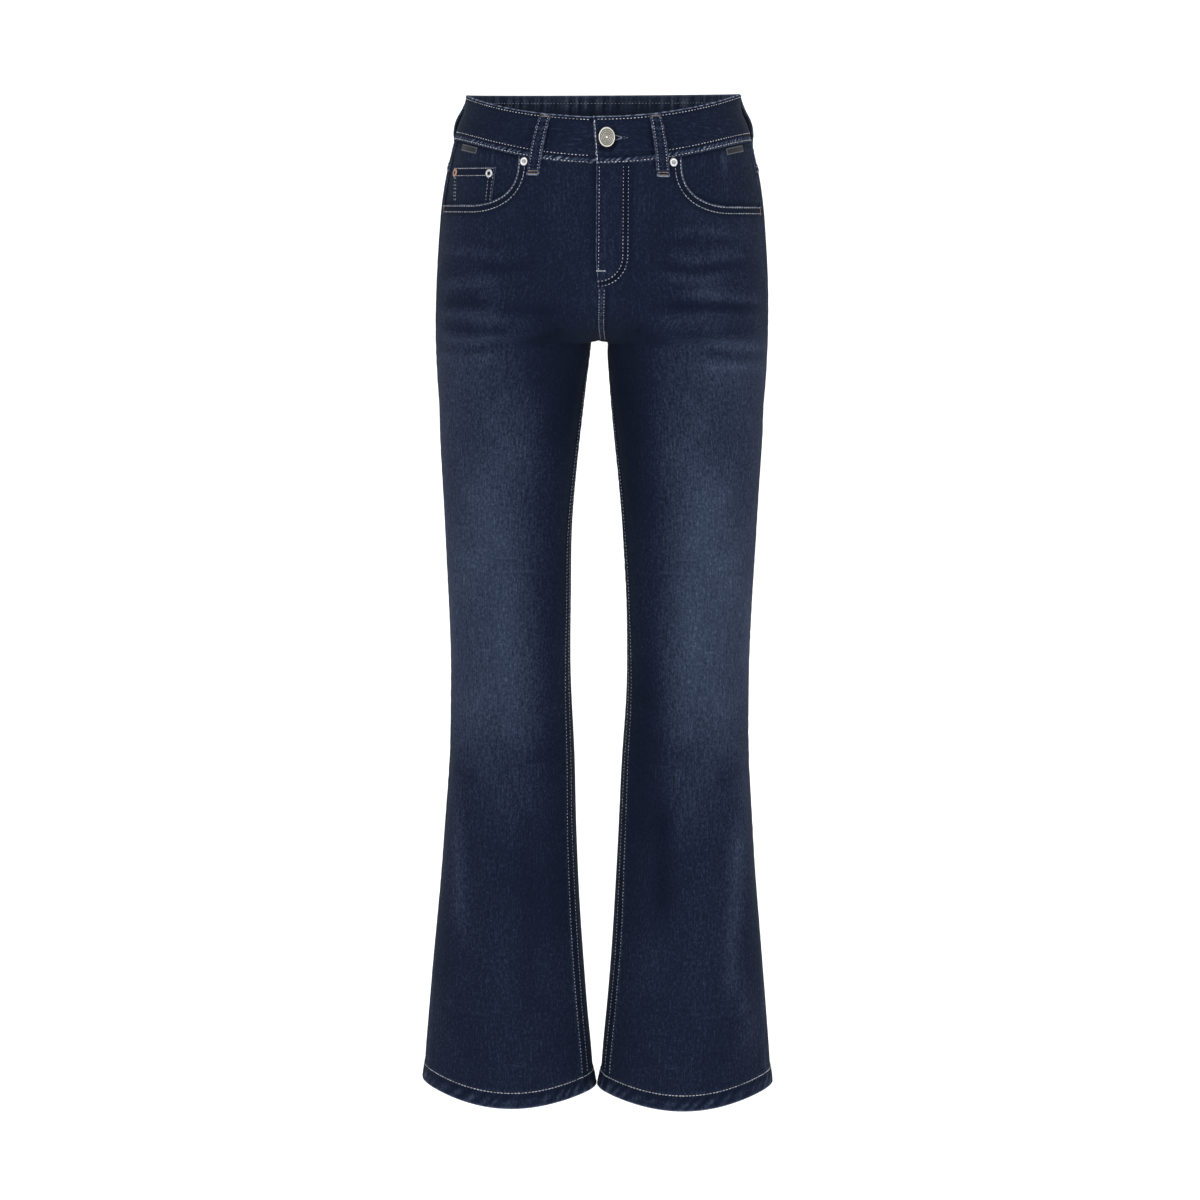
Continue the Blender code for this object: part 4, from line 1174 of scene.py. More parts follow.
def yoke_lift(side, psi, z):
    """Face of the yoke: cloth, seams, and the raised strip along its lower edge; its fading
    has a painted shadow under the waistband's foot.
    """
    worked, wear = seam_work(side, "back", psi, z)
    up = z - yoke_seam_z(psi)
    ripple = pucker(psi * YOKE_ARC - up * 0.6, 0.0115, 4.1 + side)
    face = cloth_height(side, psi, z) + worked
    face = face + 0.0007 * strip(up, CENTRE_WIDTH) - 0.8 * edge_roll(up, 0.0008)
    face = face - 0.0003 * furrows(up, CENTRE_ROWS)
    face = face + 0.0002 * ripple * bell((up - 0.004) / 0.008)
    wear = wear + 0.45 * furrow(up - 0.0004, 0.0011) + 0.16 * ripple * bell((up - 0.004) / 0.004)
    # painted shadow under the waistband's lower edge
    return face, wear - 0.2 * bell((z - band_seam_z(psi)) / 0.004)


def make_yoke(side):
    share = np.linspace(0, 1, YOKE_COLUMNS)
    inner, outer = end_angles(np.full(YOKE_COLUMNS, -0.08), "back", side)
    guess = inner + (outer - inner) * share
    top = band_seam_z(guess) - SEAM_GAP
    low = yoke_seam_z(guess)
    strip_z = low + np.array(YOKE_LEVELS)[:, None]
    t = np.linspace(0, 1, 16)[1:, None]
    z = np.concatenate([strip_z, strip_z[-1] + (top - strip_z[-1]) * t])[::-1]
    inner, outer = end_angles(z, "back", side)
    psi = inner + (outer - inner) * share
    face, wear = yoke_lift(side, psi, z)
    cut_piece("yoke_" + WORDS[side], side, psi, z, face, cloth_height(side, psi, z) - CLOTH, wear)


for side in SIDES:
    make_yoke(side)

# %% Facings in the pocket mouths
FACING_MARGIN, FACING_WALL = 0.013, 0.001
COIN_POCKET_X, COIN_POCKET_END_X = 0.108, 0.156
COIN_POCKET_TOP_Z = -0.0763
COIN_POCKET_DEPTH, COIN_WALL = 0.046, 0.0009
FACING_DEPTH = CLOTH + SEAM_GAP + 0.0001
COIN_ROOM = COIN_WALL + SEAM_GAP + 0.0001
FACING_CREASES = {RIGHT: (0.1115, -0.064, 0.0014), LEFT: (0.126, -0.070, 0.003)}


def facing_wear_and_shade(side, psi, z):
    """Little worn, shaded under the waistband and beside the mouth, with a soft light crease
    that hangs from the waistband and a rubbed line at the side seam."""
    x = body(psi, z)[..., 0]
    top = band_seam_z(psi)
    _, outer = end_angles(z, "front", side)
    # painted shade under the waistband and beside the mouth's edge
    wear = -0.34 * bell((top - z) / 0.0040) - 0.30 * bell((z - mouth_z(x)) / 0.0035) + 0.02
    crease_x, crease_z, thick = FACING_CREASES[side]
    crease = bell((x - crease_x - (top - z) * 0.10) / thick) * bell((z - crease_z) / 0.011)
    rubbed = furrow((outer - psi) * cloth_per_radian(psi, z) - 0.0020, 0.0012)
    return wear + 0.34 * crease + 0.40 * rubbed


def facing_depth(side):
    """A facing lies deeper where it has to leave room for the coin pocket."""
    return FACING_DEPTH + (COIN_ROOM if side == RIGHT else 0.0)


def make_facing(side):
    x = np.concatenate([np.linspace(0.0715, FRONT_EDGE_X, 6), np.linspace(0.087, 0.1665, 48)])
    top = band_seam_z(angle_at_x(x, np.full_like(x, -0.055))) - 2 * SEAM_GAP
    low = np.minimum(mouth_z(x, FACING_MARGIN), top - 0.004)
    z = top + (low - top) * np.linspace(0, 1, 34)[:, None]
    _, outer = end_angles(z, "front", side)
    psi = np.minimum(angle_at_x(x[None, :], z), outer)
    psi[:, -1] = outer[:, -1]
    face = cloth_height(side, psi, z) - facing_depth(side)
    cut_piece("pocket_facing_" + WORDS[side], side, psi, z, face, face - FACING_WALL,
              facing_wear_and_shade(side, psi, z))


for side in SIDES:
    make_facing(side)

# %% The coin pocket
COIN_ROWS = (0.0014, 0.0088)


def coin_grid(across, down):
    """psi and z of the coin pocket: its inner edge leans out as it goes down."""
    x = COIN_POCKET_X + (COIN_POCKET_END_X - COIN_POCKET_X) * across
    z = COIN_POCKET_TOP_Z - COIN_POCKET_DEPTH * down
    lean = (COIN_POCKET_TOP_Z - z) * 0.13 * (1 - across)
    _, outer = end_angles(z, "front", RIGHT)
    return np.minimum(angle_at_x(x + lean, z), outer - 0.02), z


def coin_lift(across, down):
    """Face of the coin pocket: turned edges and a doubled top, low where the front covers it."""
    psi, z = coin_grid(across, down)
    from_top = down * COIN_POCKET_DEPTH
    from_edge = across * 0.055
    shown = smooth_step((z - mouth_z(body(psi, z)[..., 0]) - 0.002) / 0.006)
    lift = 0.0004 * np.maximum(strip(from_top, 0.0105), strip(from_edge, 0.0070))
    lift = lift - 0.5 * edge_roll(from_top, 0.0008) - 0.5 * edge_roll(from_edge, 0.0008)
    lift = lift - 0.00022 * furrows(from_top, COIN_ROWS, 0.0009)
    lift = lift - 0.00022 * furrow(from_edge - COIN_ROWS[0], 0.0009)
    wear = 0.60 * furrow(from_top - 0.0003, 0.0008) + 0.50 * furrow(from_edge - 0.0003, 0.0008)
    wear = wear - 0.22 * strip(from_top, 0.0085) * (1 - strip(from_top, 0.0024))
    wear = wear - 0.20 * bell((from_edge - 0.0045) / 0.0018)
    return cloth_height(RIGHT, psi, z) - FACING_DEPTH + shown * (lift + 0.0004), wear


def make_coin_pocket():
    across, down = np.meshgrid(np.linspace(0, 1, 44), np.linspace(0, 1, 40))
    psi, z = coin_grid(across, down)
    lift, wear = coin_lift(across, down)
    reverse = cloth_height(RIGHT, psi, z) - FACING_DEPTH - COIN_WALL
    cut_piece("coin_pocket", RIGHT, psi, z, lift, reverse, wear)


make_coin_pocket()

# %% Back patch pockets
PATCH_WIDTH = 0.132
PATCH_TAPER = 0.10
PATCH_SIDE_HEIGHT = 0.102
PATCH_POINT_DROP = 0.019
PATCH_TOP_Z = -0.121
PATCH_FROM_SIDE = 0.126
PATCH_ROWS = (0.0016, 0.0078)
PATCH_HEM_ROWS = (0.0022, 0.0125)


def angle_from_side(z, distance):
    """Angle at a distance along the back from the side seam: Newton steps on the length
    of the oval, which is summed over 24 strips."""
    z, distance = np.broadcast_arrays(z, distance)
    _, outer = end_angles(z, "back", LEFT)
    psi = outer + distance / YOKE_ARC
    strips = (np.arange(24) + 0.5) / 24
    for _ in range(8):
        angles = outer[..., None] + (psi - outer)[..., None] * strips
        heights = np.repeat(z[..., None], 24, axis=-1)
        run = cloth_per_radian(angles, heights).mean(axis=-1) * (psi - outer)
        psi = psi - (run - distance) / cloth_per_radian(psi, z)
    return psi


def patch_grid(across, down):
    """Five-sided patch: across -1 to 1, down 0 to 1, tapering and pointed at the bottom."""
    a = across * PATCH_WIDTH / 2 * (1 - PATCH_TAPER * down)
    slope = 0.07 * across * PATCH_WIDTH / 2
    z = PATCH_TOP_Z + slope - down * (PATCH_SIDE_HEIGHT + PATCH_POINT_DROP * (1 - np.abs(across)))
    return angle_from_side(z, PATCH_FROM_SIDE - a), z


def patch_edges(across, down):
    """Distances to the nearest sewn edge (sides and bottom) and to the top."""
    half = PATCH_WIDTH / 2 * (1 - PATCH_TAPER * down)
    side_gap = (1 - np.abs(across)) * half
    tall = PATCH_SIDE_HEIGHT + PATCH_POINT_DROP * (1 - np.abs(across))
    bottom_gap = (1 - down) * tall * math.cos(math.atan2(PATCH_POINT_DROP, PATCH_WIDTH / 2))
    return np.minimum(side_gap, bottom_gap), down * tall


def patch_lift(side, across, down):
    psi, z = patch_grid(across, down)
    sewn, top = patch_edges(across, down)
    worked, wear = seam_work(side, "back", psi, z)
    under = cloth_height(side, psi, z) + worked + SEAM_GAP + 0.0005
    face = 0.0011 + 0.0004 * np.maximum(strip(sewn, 0.0090), strip(top, 0.0145))
    face = face - 0.8 * edge_roll(np.minimum(sewn, top), 0.0010)
    face = face - 0.0003 * furrows(sewn, PATCH_ROWS) * (top > 0.002)
    face = face - 0.0003 * furrows(top, PATCH_HEM_ROWS)
    bulge = 0.0012 * np.clip(1 - across**2, 0, 1) ** 2 * np.clip(1 - (2 * down - 0.9) ** 2, 0, 1)
    ripple = pucker(across * 0.066 + down * 0.1, 0.012, 5.0 + side)
    face = face + 0.00018 * ripple * bell((sewn - 0.004) / 0.006)
    wear = wear + 0.55 * furrow(np.minimum(sewn, top) - 0.0004, 0.0012)
    wear = wear + 0.20 * ripple * bell((sewn - 0.0045) / 0.003) + 0.10
    return psi, z, under, under + face + bulge, wear


def make_patch_pocket(side):
    sewn = np.array([0, 0.0006, 0.0012, 0.0018, 0.0028, 0.0045, 0.0062, 0.0078, 0.0092, 0.0106])
    hem = np.array([0, 0.0006, 0.0012, 0.0022, 0.0034, 0.0060, 0.0090, 0.0112, 0.0125, 0.0138,
                    0.0152])
    near = sewn / 0.060
    half = 1 - np.concatenate([near, np.linspace(near[-1], 1, 22)[1:]])
    top, low = hem / 0.110, 1 - sewn[::-1] / 0.110
    down = np.concatenate([top, np.linspace(top[-1], low[0], 28)[1:-1], low])
    across, down = np.meshgrid(np.concatenate([-half, half[::-1][1:]]), down)
    psi, z, under, face, wear = patch_lift(side, across, down)
    cut_piece("back_pocket_" + WORDS[side], side, psi, z, face, under, wear)


for side in SIDES:
    make_patch_pocket(side)

# %% The underlap behind the fly
def make_underlap():
    x = np.linspace(-0.006, 0.034, 15)
    top = band_seam_z(np.full(15, math.pi / 2)) - SEAM_GAP
    low = FLY_BOTTOM_Z + 0.012 + 0.010 * (x / 0.034) ** 2
    z = top + (low - top) * np.linspace(0, 1, 40)[:, None]
    psi = angle_at_x(np.abs(x)[None, :], z)
    pressed = np.where(x[None, :] > 0, cloth_height(LEFT, psi, z), cloth_height(RIGHT, psi, z))
    depth = CLOTH + SEAM_GAP + 0.0005
    faces = []
    for lift in (-depth, -depth - 0.0016):
        points = body(psi, z) + body_normal(psi, z) * (pressed + lift)[..., None]
        points[..., 0] *= np.sign(x + 1e-9)[None, :]
        faces.append(points)
    cloth_shell("fly_underlap", *faces, warp_down(faces[0], z), -0.2)


make_underlap()

# %% [markdown]
# ## Waistband and belt loops
# The waistband is one doubled strip, lapped at the front and topstitched along both edges.
# The stitches shrink, so the lower edge ropes into slanting puckers.  It is worked out round
# the waist by an angle beta, from the centre front over the wearer's right side.

# %% Points round the waist
def ring_psi(beta):
    wrapped = np.mod(beta, 2 * math.pi)
    return math.pi / 2 + np.where(wrapped <= math.pi, wrapped, 2 * math.pi - wrapped)


def mirror_ring(vectors, beta):
    out = np.array(vectors)
    out[..., 0] *= np.where(np.mod(beta, 2 * math.pi) <= math.pi, -1.0, 1.0)
    return out


def ring_points(beta, z, lift):
    beta, z = np.broadcast_arrays(np.asarray(beta, float), np.asarray(z, float))
    lift = np.broadcast_to(lift, beta.shape)
    psi = ring_psi(beta)
    return mirror_ring(body(psi, z) + body_normal(psi, z) * lift[..., None], beta)


def ring_normals(beta, z):
    return mirror_ring(body_normal(ring_psi(beta), z), beta)


def ring_rim_z(beta):
    """The rim's height round the waist, with its slight tilt."""
    return rim_z(ring_psi(beta)) - RIM_TILT * np.sin(beta)


BAND_TALL = 0.0480
BAND_ROWS = (0.0034, 0.0084, 0.0016)   # below the rim; above the lower edge, twice
BUTTON_X, BUTTON_Z = 0.0066, -0.047
LAP_SLANT = math.radians(1.6)
BAND_START, BAND_END = math.radians(-12.5), math.radians(362.0)
BAND_COLUMNS = 700
FROM_RIM = (0, 0.0004, 0.0009, 0.0015, 0.0022, 0.0030, 0.0039, 0.0048, 0.0057, 0.0068, 0.0085,
            0.0115, 0.0155, 0.0200, 0.0245, 0.0290)
FROM_EDGE = (0.0150, 0.0124, 0.0108, 0.0096, 0.0084, 0.0074, 0.0064, 0.0052, 0.0040, 0.0030,
             0.0022, 0.0016, 0.0010, 0.0005, 0)
print("half way round:", np.round(ring_points(math.pi, -0.02, 0.0), 3))

# %% The waistband
def band_relief(beta, down):
    """Furrows under three rows, slanted puckers between the lower two, soft waves; painted shade
    in the furrow under the upper lower row, and a painted shadow round the button.
    """
    beta = np.mod(beta, 2 * math.pi)
    arc = beta * WAIST_ARC
    below_rim, above_edge = down * BAND_TALL, (1 - down) * BAND_TALL
    height = 0.00022 * np.sin(arc * 31 + 1.0) * np.sin(down * 4 + arc * 7)
    height = height - 0.00030 * furrow(below_rim - BAND_ROWS[0], 0.0010)
    height = height - 0.00040 * furrow(above_edge - BAND_ROWS[1], 0.0011)
    height = height - 0.00030 * furrow(above_edge - BAND_ROWS[2], 0.0009)
    ripple = pucker(arc + above_edge * 0.95, 0.0058, 2.6)
    zone = bell((above_edge - 0.0040) / 0.0030)
    top_ripple = pucker(arc - below_rim * 0.5, 0.0105, 0.7)
    height = height + 0.00030 * ripple * zone
    height = height + 0.00012 * top_ripple * bell((below_rim - 0.003) / 0.004)
    wear = 0.72 * bell((above_edge - 0.0036) / 0.0024) * (0.55 + 1.10 * ripple)
    # painted shade in the furrow just under the upper of the two lower rows
    wear = wear - 0.42 * bell((above_edge - 0.0066) / 0.0011)
    wear = wear + 0.60 * furrow(above_edge - 0.0004, 0.0008) * (0.8 + 0.5 * ripple)
    rubbed = 1.20 * (0.85 + 0.45 * pucker(arc, 0.0083, 1.2))
    wear = wear + rubbed * furrow(below_rim - 0.0006, 0.0009)
    wear = wear - 0.30 * bell((below_rim - 0.0020) / 0.0006)
    wear = wear - 0.16 * bell((below_rim - 0.0052) / 0.0016)
    wear = wear + 0.14 * top_ripple * bell(below_rim / 0.006)
    # painted shadow: a dark ring round the button, which stands off the band
    front_arc = (2 * math.pi - beta) * 0.1547      # the oval's radius at the centre front
    from_button = np.hypot(front_arc - BUTTON_X, (down - 0.50) * BAND_TALL)
    return height, wear - 1.1 * bell((from_button - 0.0104) / 0.0013)


def band_lining(beta, down):
    """Lift and fading of the band's inner face: upright puckers hang from its stitch row, and
    painted shade darkens it further down inside the waist.
    """
    arc = np.mod(beta, 2 * math.pi) * WAIST_ARC
    below_rim = down * BAND_TALL
    ripple = pucker(arc + 0.08 * below_rim, 0.0125, 1.9)
    fine = pucker(arc, 0.0047, 0.6)
    hang = bell((below_rim - 0.0095) / 0.0085)
    height = 0.00032 * ripple * hang - 0.00025 * furrow(below_rim - 0.0085, 0.0012)
    wear = (0.46 * ripple + 0.34 * fine) * hang + 0.12 * bell((below_rim - 0.004) / 0.006)
    wear = wear + 0.5 * furrow(below_rim - 0.0005, 0.0010)
    # painted shade: darker further down inside the waist
    return height, wear - 0.45 * smooth_step((below_rim - 0.012) / 0.012)


def band_sink(beta):
    """The under end drops behind the lap over its last twelve degrees."""
    share = np.clip((math.radians(14) - beta) / math.radians(12), 0, 1)
    return share * (BAND_WALL + SEAM_GAP + 0.0002)


def band_z(beta, down):
    """Height on the band: down is 0 at the rim and 1 at its foot."""
    top, low = ring_rim_z(beta), band_seam_z(ring_psi(beta))
    return top + (low - top) * down


def make_waistband():
    ends = np.radians(np.array([0, 0.25, 0.5, 0.8, 1.2, 1.8]))
    round_waist = np.linspace(BAND_START + ends[-1], BAND_END - ends[-1], BAND_COLUMNS)[1:-1]
    beta = np.concatenate([BAND_START + ends, round_waist, BAND_END - ends[::-1]])
    down = np.concatenate([FROM_RIM, BAND_TALL - np.array(FROM_EDGE)])[:, None] / BAND_TALL
    near_end = np.clip((beta - math.radians(355.0)) / math.radians(7.0), 0, 1)
    places = beta[None, :] + LAP_SLANT * near_end[None, :] * (0.5 - down)
    z = band_z(beta[None, :], down)
    height, wear = band_relief(places, down)
    lining, lining_wear_and_shade = band_lining(places, down)
    to_end = np.minimum((BAND_END - beta), (beta - BAND_START)) * BAND_END_ARC
    rim_gap = np.minimum(down, 1 - down) * BAND_TALL
    roll = 0.9 * edge_roll(np.minimum(rim_gap, to_end[None, :]), 0.0011)
    sink = band_sink(beta)[None, :]
    lap_wear = 1.15 * (0.8 + 0.5 * pucker(down * BAND_TALL, 0.0061, 0.9))
    to_lap = (BAND_END - beta)[None, :] * BAND_END_ARC
    wear = wear + lap_wear * furrow(to_lap - 0.0005, 0.0009)
    outside = ring_points(places, z, BAND_PROUD + height - roll - sink)
    inside = ring_points(places, z, BAND_PROUD - BAND_WALL + 0.6 * roll - sink + lining)
    uv = np.stack([np.broadcast_to(z, outside.shape[:2]), along_rows(outside)], axis=-1)
    cloth_shell("waistband", outside, inside, uv, wear, reverse=0.22, wear_inside=lining_wear_and_shade)


make_waistband()

# %% Belt loops
LOOP_WIDTH = 0.0125
LOOP_THICK = 0.0022
LOOP_ROWS = (-0.0041, 0.0041)
LOOP_COLUMNS = ("name", "top_beta", "bottom_beta", "below_seam", "bow")
LOOPS = [dict(zip(LOOP_COLUMNS, row)) for row in (
    ("belt_loop_front_right", 21.9, 24.4, 0.0175, 0.0030),
    ("belt_loop_front_left", -22.0, -23.2, 0.0180, 0.0030),
    ("belt_loop_side_right", 101.0, 101.0, 0.0120, 0.0046),
    ("belt_loop_side_left", -101.0, -101.0, 0.0120, 0.0046),
    ("belt_loop_back", 180.0, 180.0, 0.0150, 0.0045),
)]
LOOP_LONG = 0.062


def loop_place(loop, run, across, extra):
    """A strip from just under the rim to below the band, bowed out between its ends."""
    run, across = np.broadcast_arrays(run, across)
    beta_mid = np.radians(loop["top_beta"] + (loop["bottom_beta"] - loop["top_beta"]) * run)
    psi = ring_psi(beta_mid)
    top = ring_rim_z(beta_mid) - 0.0012
    low = band_seam_z(psi) - loop["below_seam"]
    z = top + (low - top) * run
    over_band = np.clip((z - band_seam_z(psi)) / 0.004, 0, 1)
    seat = BAND_PROUD * over_band + SEAM_GAP + 0.0002
    bow = loop["bow"] * np.clip(np.sin(math.pi * np.clip((run - 0.06) / 0.84, 0, 1)), 0, 1)
    reach = np.hypot(0.150 * np.cos(beta_mid), 0.108 * np.sin(beta_mid))
    beta = beta_mid + across / reach
    return beta, z, ring_points(beta, z, seat + bow + extra)


def loop_face(run, across):
    """Thickness profile: rolled sides and ends, furrows under both rows, a low middle ridge."""
    edge = np.minimum(LOOP_WIDTH / 2 - np.abs(across), np.minimum(run, 1 - run) * LOOP_LONG)
    face = LOOP_THICK - 0.9 * edge_roll(edge, 0.0010)
    face = face - 0.0004 * furrows(across, LOOP_ROWS, 0.0009)
    ripple = pucker(run * LOOP_LONG + 0.4 * np.abs(across), 0.0062, 1.7)
    face = face + 0.00014 * ripple
    wear = 0.85 * furrow(edge - 0.0005, 0.0009) * (0.85 + 0.5 * ripple)
    wear = wear + 0.24 * bell(across / 0.0012) - 0.10
    wear = wear + 0.62 * ripple * furrow(np.abs(across) - 0.0026, 0.0013)
    wear = wear + 0.26 * np.sin(run * LOOP_LONG * 1700 + across * 900) * bell(across / 0.004)
    return face, wear


def make_loop(loop):
    half = np.array([0, 0.0004, 0.0009, 0.0015, 0.0021, 0.0029, 0.0042, 0.00625])
    across = np.concatenate([-LOOP_WIDTH / 2 + half, (LOOP_WIDTH / 2 - half)[::-1][1:]])
    run = np.concatenate([[0, 0.006, 0.013, 0.022], np.linspace(0.035, 0.965, 44),
                          [0.978, 0.987, 0.994, 1.0]])
    across, run = np.meshgrid(across, run)
    face, wear = loop_face(run, across)
    _, z, inside = loop_place(loop, run, across, 0.0)
    _, _, outside = loop_place(loop, run, across, face)
    uv = np.stack([across, z], axis=-1)
    cloth_shell(loop["name"], outside, inside, uv, wear, reverse=0.0)


for loop in LOOPS:
    make_loop(loop)

# %% [markdown]
# ## Thread
# Thousands of stitches hold the jeans together and draw their lines.  A texture of dashes
# looks printed from the side, so each stitch is a little lens of thread whose ends dive
# into the cloth.  One small template is copied along every row with whole-array maths, a
# few dozen faces each, and each group of rows becomes one mesh.

# %% One stitch, and rows of them
def thread_material(name, colour):
    """Twisted thread: fine slanting bands of light and dark along each stitch."""
    material, tree, shader = new_material(name, {"Roughness": 0.62, "Specular IOR Level": 0.3})
    position = tree.nodes.new("ShaderNodeTexCoord").outputs["Object"]
    twist = noise(tree, position, (2600.0, 2600.0, 2600.0))
    soil = noise(tree, position, (190.0, 190.0, 150.0), 3.0)
    shade = weighted(tree, 0.0, (twist, 0.35), (soil, 0.65))
    dark = tuple(0.30 * c for c in colour)
    light = tuple(min(1.35 * c, 1.0) for c in colour)
    stops = ((0.36, dark), (0.52, colour), (0.68, light))
    tree.links.new(ramp(tree, shade, stops), shader.inputs["Base Color"])
    add_bump(tree, shader, twist, 0.4, 0.0002)
    return material


THREAD = thread_material("thread_grey", srgb(182, 183, 188))
THREAD_LIGHT = thread_material("thread_light", srgb(212, 212, 216))
THREAD_RUST = thread_material("thread_rust", srgb(128, 116, 110))
THREAD_COPPER = thread_material("thread_copper", srgb(132, 92, 72))
THREAD_BLUE = thread_material("thread_blue", srgb(144, 152, 170))
STITCH_PITCH = 0.0037
THREAD_RADIUS = 0.00032
DOTTED, CLOSE = 0.54, 0.86    # share of the pitch that a stitch covers
BAR_PITCH = 0.00062
ROWS = {}


def stitch_template():
    """Four rings of six points: thin and low at both ends, full and high between."""
    along = np.array([-0.5, -0.27, 0.27, 0.5])
    size = np.array([0.35, 1.0, 1.0, 0.35])
    high = np.array([-0.5, 0.35, 0.35, -0.5])
    turn = np.arange(6) * math.pi / 3
    u = np.repeat(along[:, None], 6, axis=1)
    v = size[:, None] * np.cos(turn)[None, :]
    w = size[:, None] * np.sin(turn)[None, :] * 0.85 + high[:, None]
    return np.stack([u, v, w], axis=-1).reshape(-1, 3)


def stitch_faces(count):
    quads = [(r * 6 + k, r * 6 + (k + 1) % 6, (r + 1) * 6 + (k + 1) % 6, (r + 1) * 6 + k)
             for r in range(3) for k in range(6)]
    caps = [tuple(range(5, -1, -1)), tuple(range(18, 24))]
    shift = (np.arange(count) * 24)[:, None, None]
    made = (np.array(quads)[None] + shift).reshape(-1, 4).tolist()
    return made + (np.array(caps)[None] + shift).reshape(-1, 6).tolist()


def at(where, run, values):
    """Values of a line at given distances along it."""
    return np.stack([np.interp(where, run, values[:, k]) for k in range(3)], axis=1)


def lay_stitches(group, centre, t, n, length, radius):
    """Copy the template to each middle: t runs along the stitch, n out of the cloth."""
    side_way = unit(np.cross(n, t))
    n = np.cross(t, side_way)
    shape = stitch_template()
    verts = (centre[:, None] + t[:, None] * (shape[None, :, :1] * length[:, None])
             + side_way[:, None] * shape[None, :, 1:2] * radius
             + n[:, None] * shape[None, :, 2:] * radius)
    ROWS.setdefault(group, []).append(verts.reshape(-1, 3))


def add_row(group, points, normals, pitch=STITCH_PITCH, radius=THREAD_RADIUS, cover=DOTTED):
    """Cut a line into stitches, each a little uneven in its place and direction."""
    run = run_along(points)
    count = max(int(round(run[-1] / pitch)), 1)
    step = run[-1] / count
    middle = (np.arange(count) + 0.5) * step
    middle = middle + 0.05 * step * np.sin(np.arange(count) * 2.4)
    half = cover * step / 2
    span = at(middle + half, run, points) - at(middle - half, run, points)
    n = at(middle, run, normals)
    length = np.linalg.norm(span, axis=1, keepdims=True)
    t = span / length
    t = unit(t + np.cross(n, t) * 0.07 * np.sin(np.arange(count) * 1.7)[:, None])
    lay_stitches(group, at(middle, run, points), t, n, length, radius)


def add_bar(group, points, normals, width, radius=0.00033):
    """Tight stitches side by side along a line, each laid across it in a slight zigzag."""
    run = run_along(points)
    where = np.arange(0.5 * BAR_PITCH, run[-1], BAR_PITCH)
    ahead = unit(at(where + 1e-4, run, points) - at(where - 1e-4, run, points))
    n = at(where, run, normals)
    zigzag = np.where(np.arange(len(where)) % 2, 0.16, -0.16)[:, None]
    t = unit(unit(np.cross(ahead, n)) + ahead * zigzag)
    length = width * (1 + 0.10 * np.sin(np.arange(len(where)) * 2.1))[:, None]
    lay_stitches(group, at(where, run, points) + n * 0.0001, t, n, length, radius)


print("a stitch has", 2 * 18 + 8, "triangles")

# %% Rows on the leg panels
def panel_line(side, where, psi, z):
    """A line on a panel's face with its normals."""
    psi, z = float_grids(psi, z)
    return face_line(side, psi, z, panel_lift(side, where, psi, z)[0])


def beside_inner(side, where, z, distance):
    inner, _ = end_angles(z, where, side)
    sign = 1 if where == "front" else -1
    return inner + sign * distance / cloth_per_radian(inner, z)


def add_leg_rows(side):
    word = WORDS[side]
    for where in ("front", "back"):
        ends = end_angles(np.array([HEM_Z]), where, side)
        psi = np.linspace(float(ends[0][0]), float(ends[1][0]), 260)
        add_row("stitches_hem_" + word, *panel_line(side, where, psi, hem_z(psi) + HEM_ROW),
                radius=0.00042, cover=CLOSE)
    z = np.linspace(CROTCH_Z - 0.005, HEM_Z - HEM_INNER_DIP + HEM_HEIGHT, 900)
    for distance in FELL_ROWS:
        psi = beside_inner(side, "front", z, distance)
        add_row("stitches_inner_leg_" + word, *panel_line(side, "front", psi, z))


def add_centre_rows():
    """Two rows at even distances in x from the centre seams, in front and behind."""
    for where, top in (("front", FLY_BOTTOM_Z), ("back", float(yoke_seam_z(1.5 * math.pi)))):
        z = np.linspace(top - 0.001, CROTCH_Z + 0.002, 260)
        for distance in CENTRE_ROWS:
            psi = angle_at_x(distance, z)
            psi = psi if where == "front" else 2 * math.pi - psi
            add_row("stitches_centre", *panel_line(LEFT, where, psi, z), radius=0.00025)


def add_fly_rows():
    z = np.linspace(float(band_seam_z(math.pi / 2)) - 0.002, FLY_BAR_Z, 200)
    add_row("stitches_fly", *panel_line(LEFT, "front", angle_at_x(0 * z, z), z))
    for row in (0, 1):
        straight = np.linspace(-0.0745, FLY_STRAIGHT_END, 160)[:-1]
        turn = np.linspace(0, math.pi / 2, 120)
        end = FLY_ROW_ENDS[row]
        curve_z = FLY_STRAIGHT_END - (FLY_STRAIGHT_END - end) * np.sin(turn)
        z = np.concatenate([straight, curve_z])
        x = np.maximum(fly_row_x(z, row), 0.0)
        x[-1] = -0.0015
        add_row("stitches_fly", *panel_line(LEFT, "front", angle_at_x(x, z), z))


def add_mouth_rows(side):
    for distance in MOUTH_ROWS:
        x, z = mouth_offset_line(distance)
        keep = (z < band_seam_z(angle_at_x(x, z)) - 0.003) & (x < MOUTH_END_X)
        x, z = x[keep], z[keep]
        add_row("stitches_mouth_" + WORDS[side],
                *panel_line(side, "front", angle_at_x(x, z), z), cover=CLOSE)


for side in SIDES:
    add_leg_rows(side)
    add_mouth_rows(side)
add_centre_rows()
add_fly_rows()
print("rows so far:", {name: len(rows) for name, rows in ROWS.items()})

# %% Rows on the yokes, pockets, waistband and loops
def yoke_line(side, psi, z):
    return face_line(side, psi, z, yoke_lift(side, psi, z)[0])


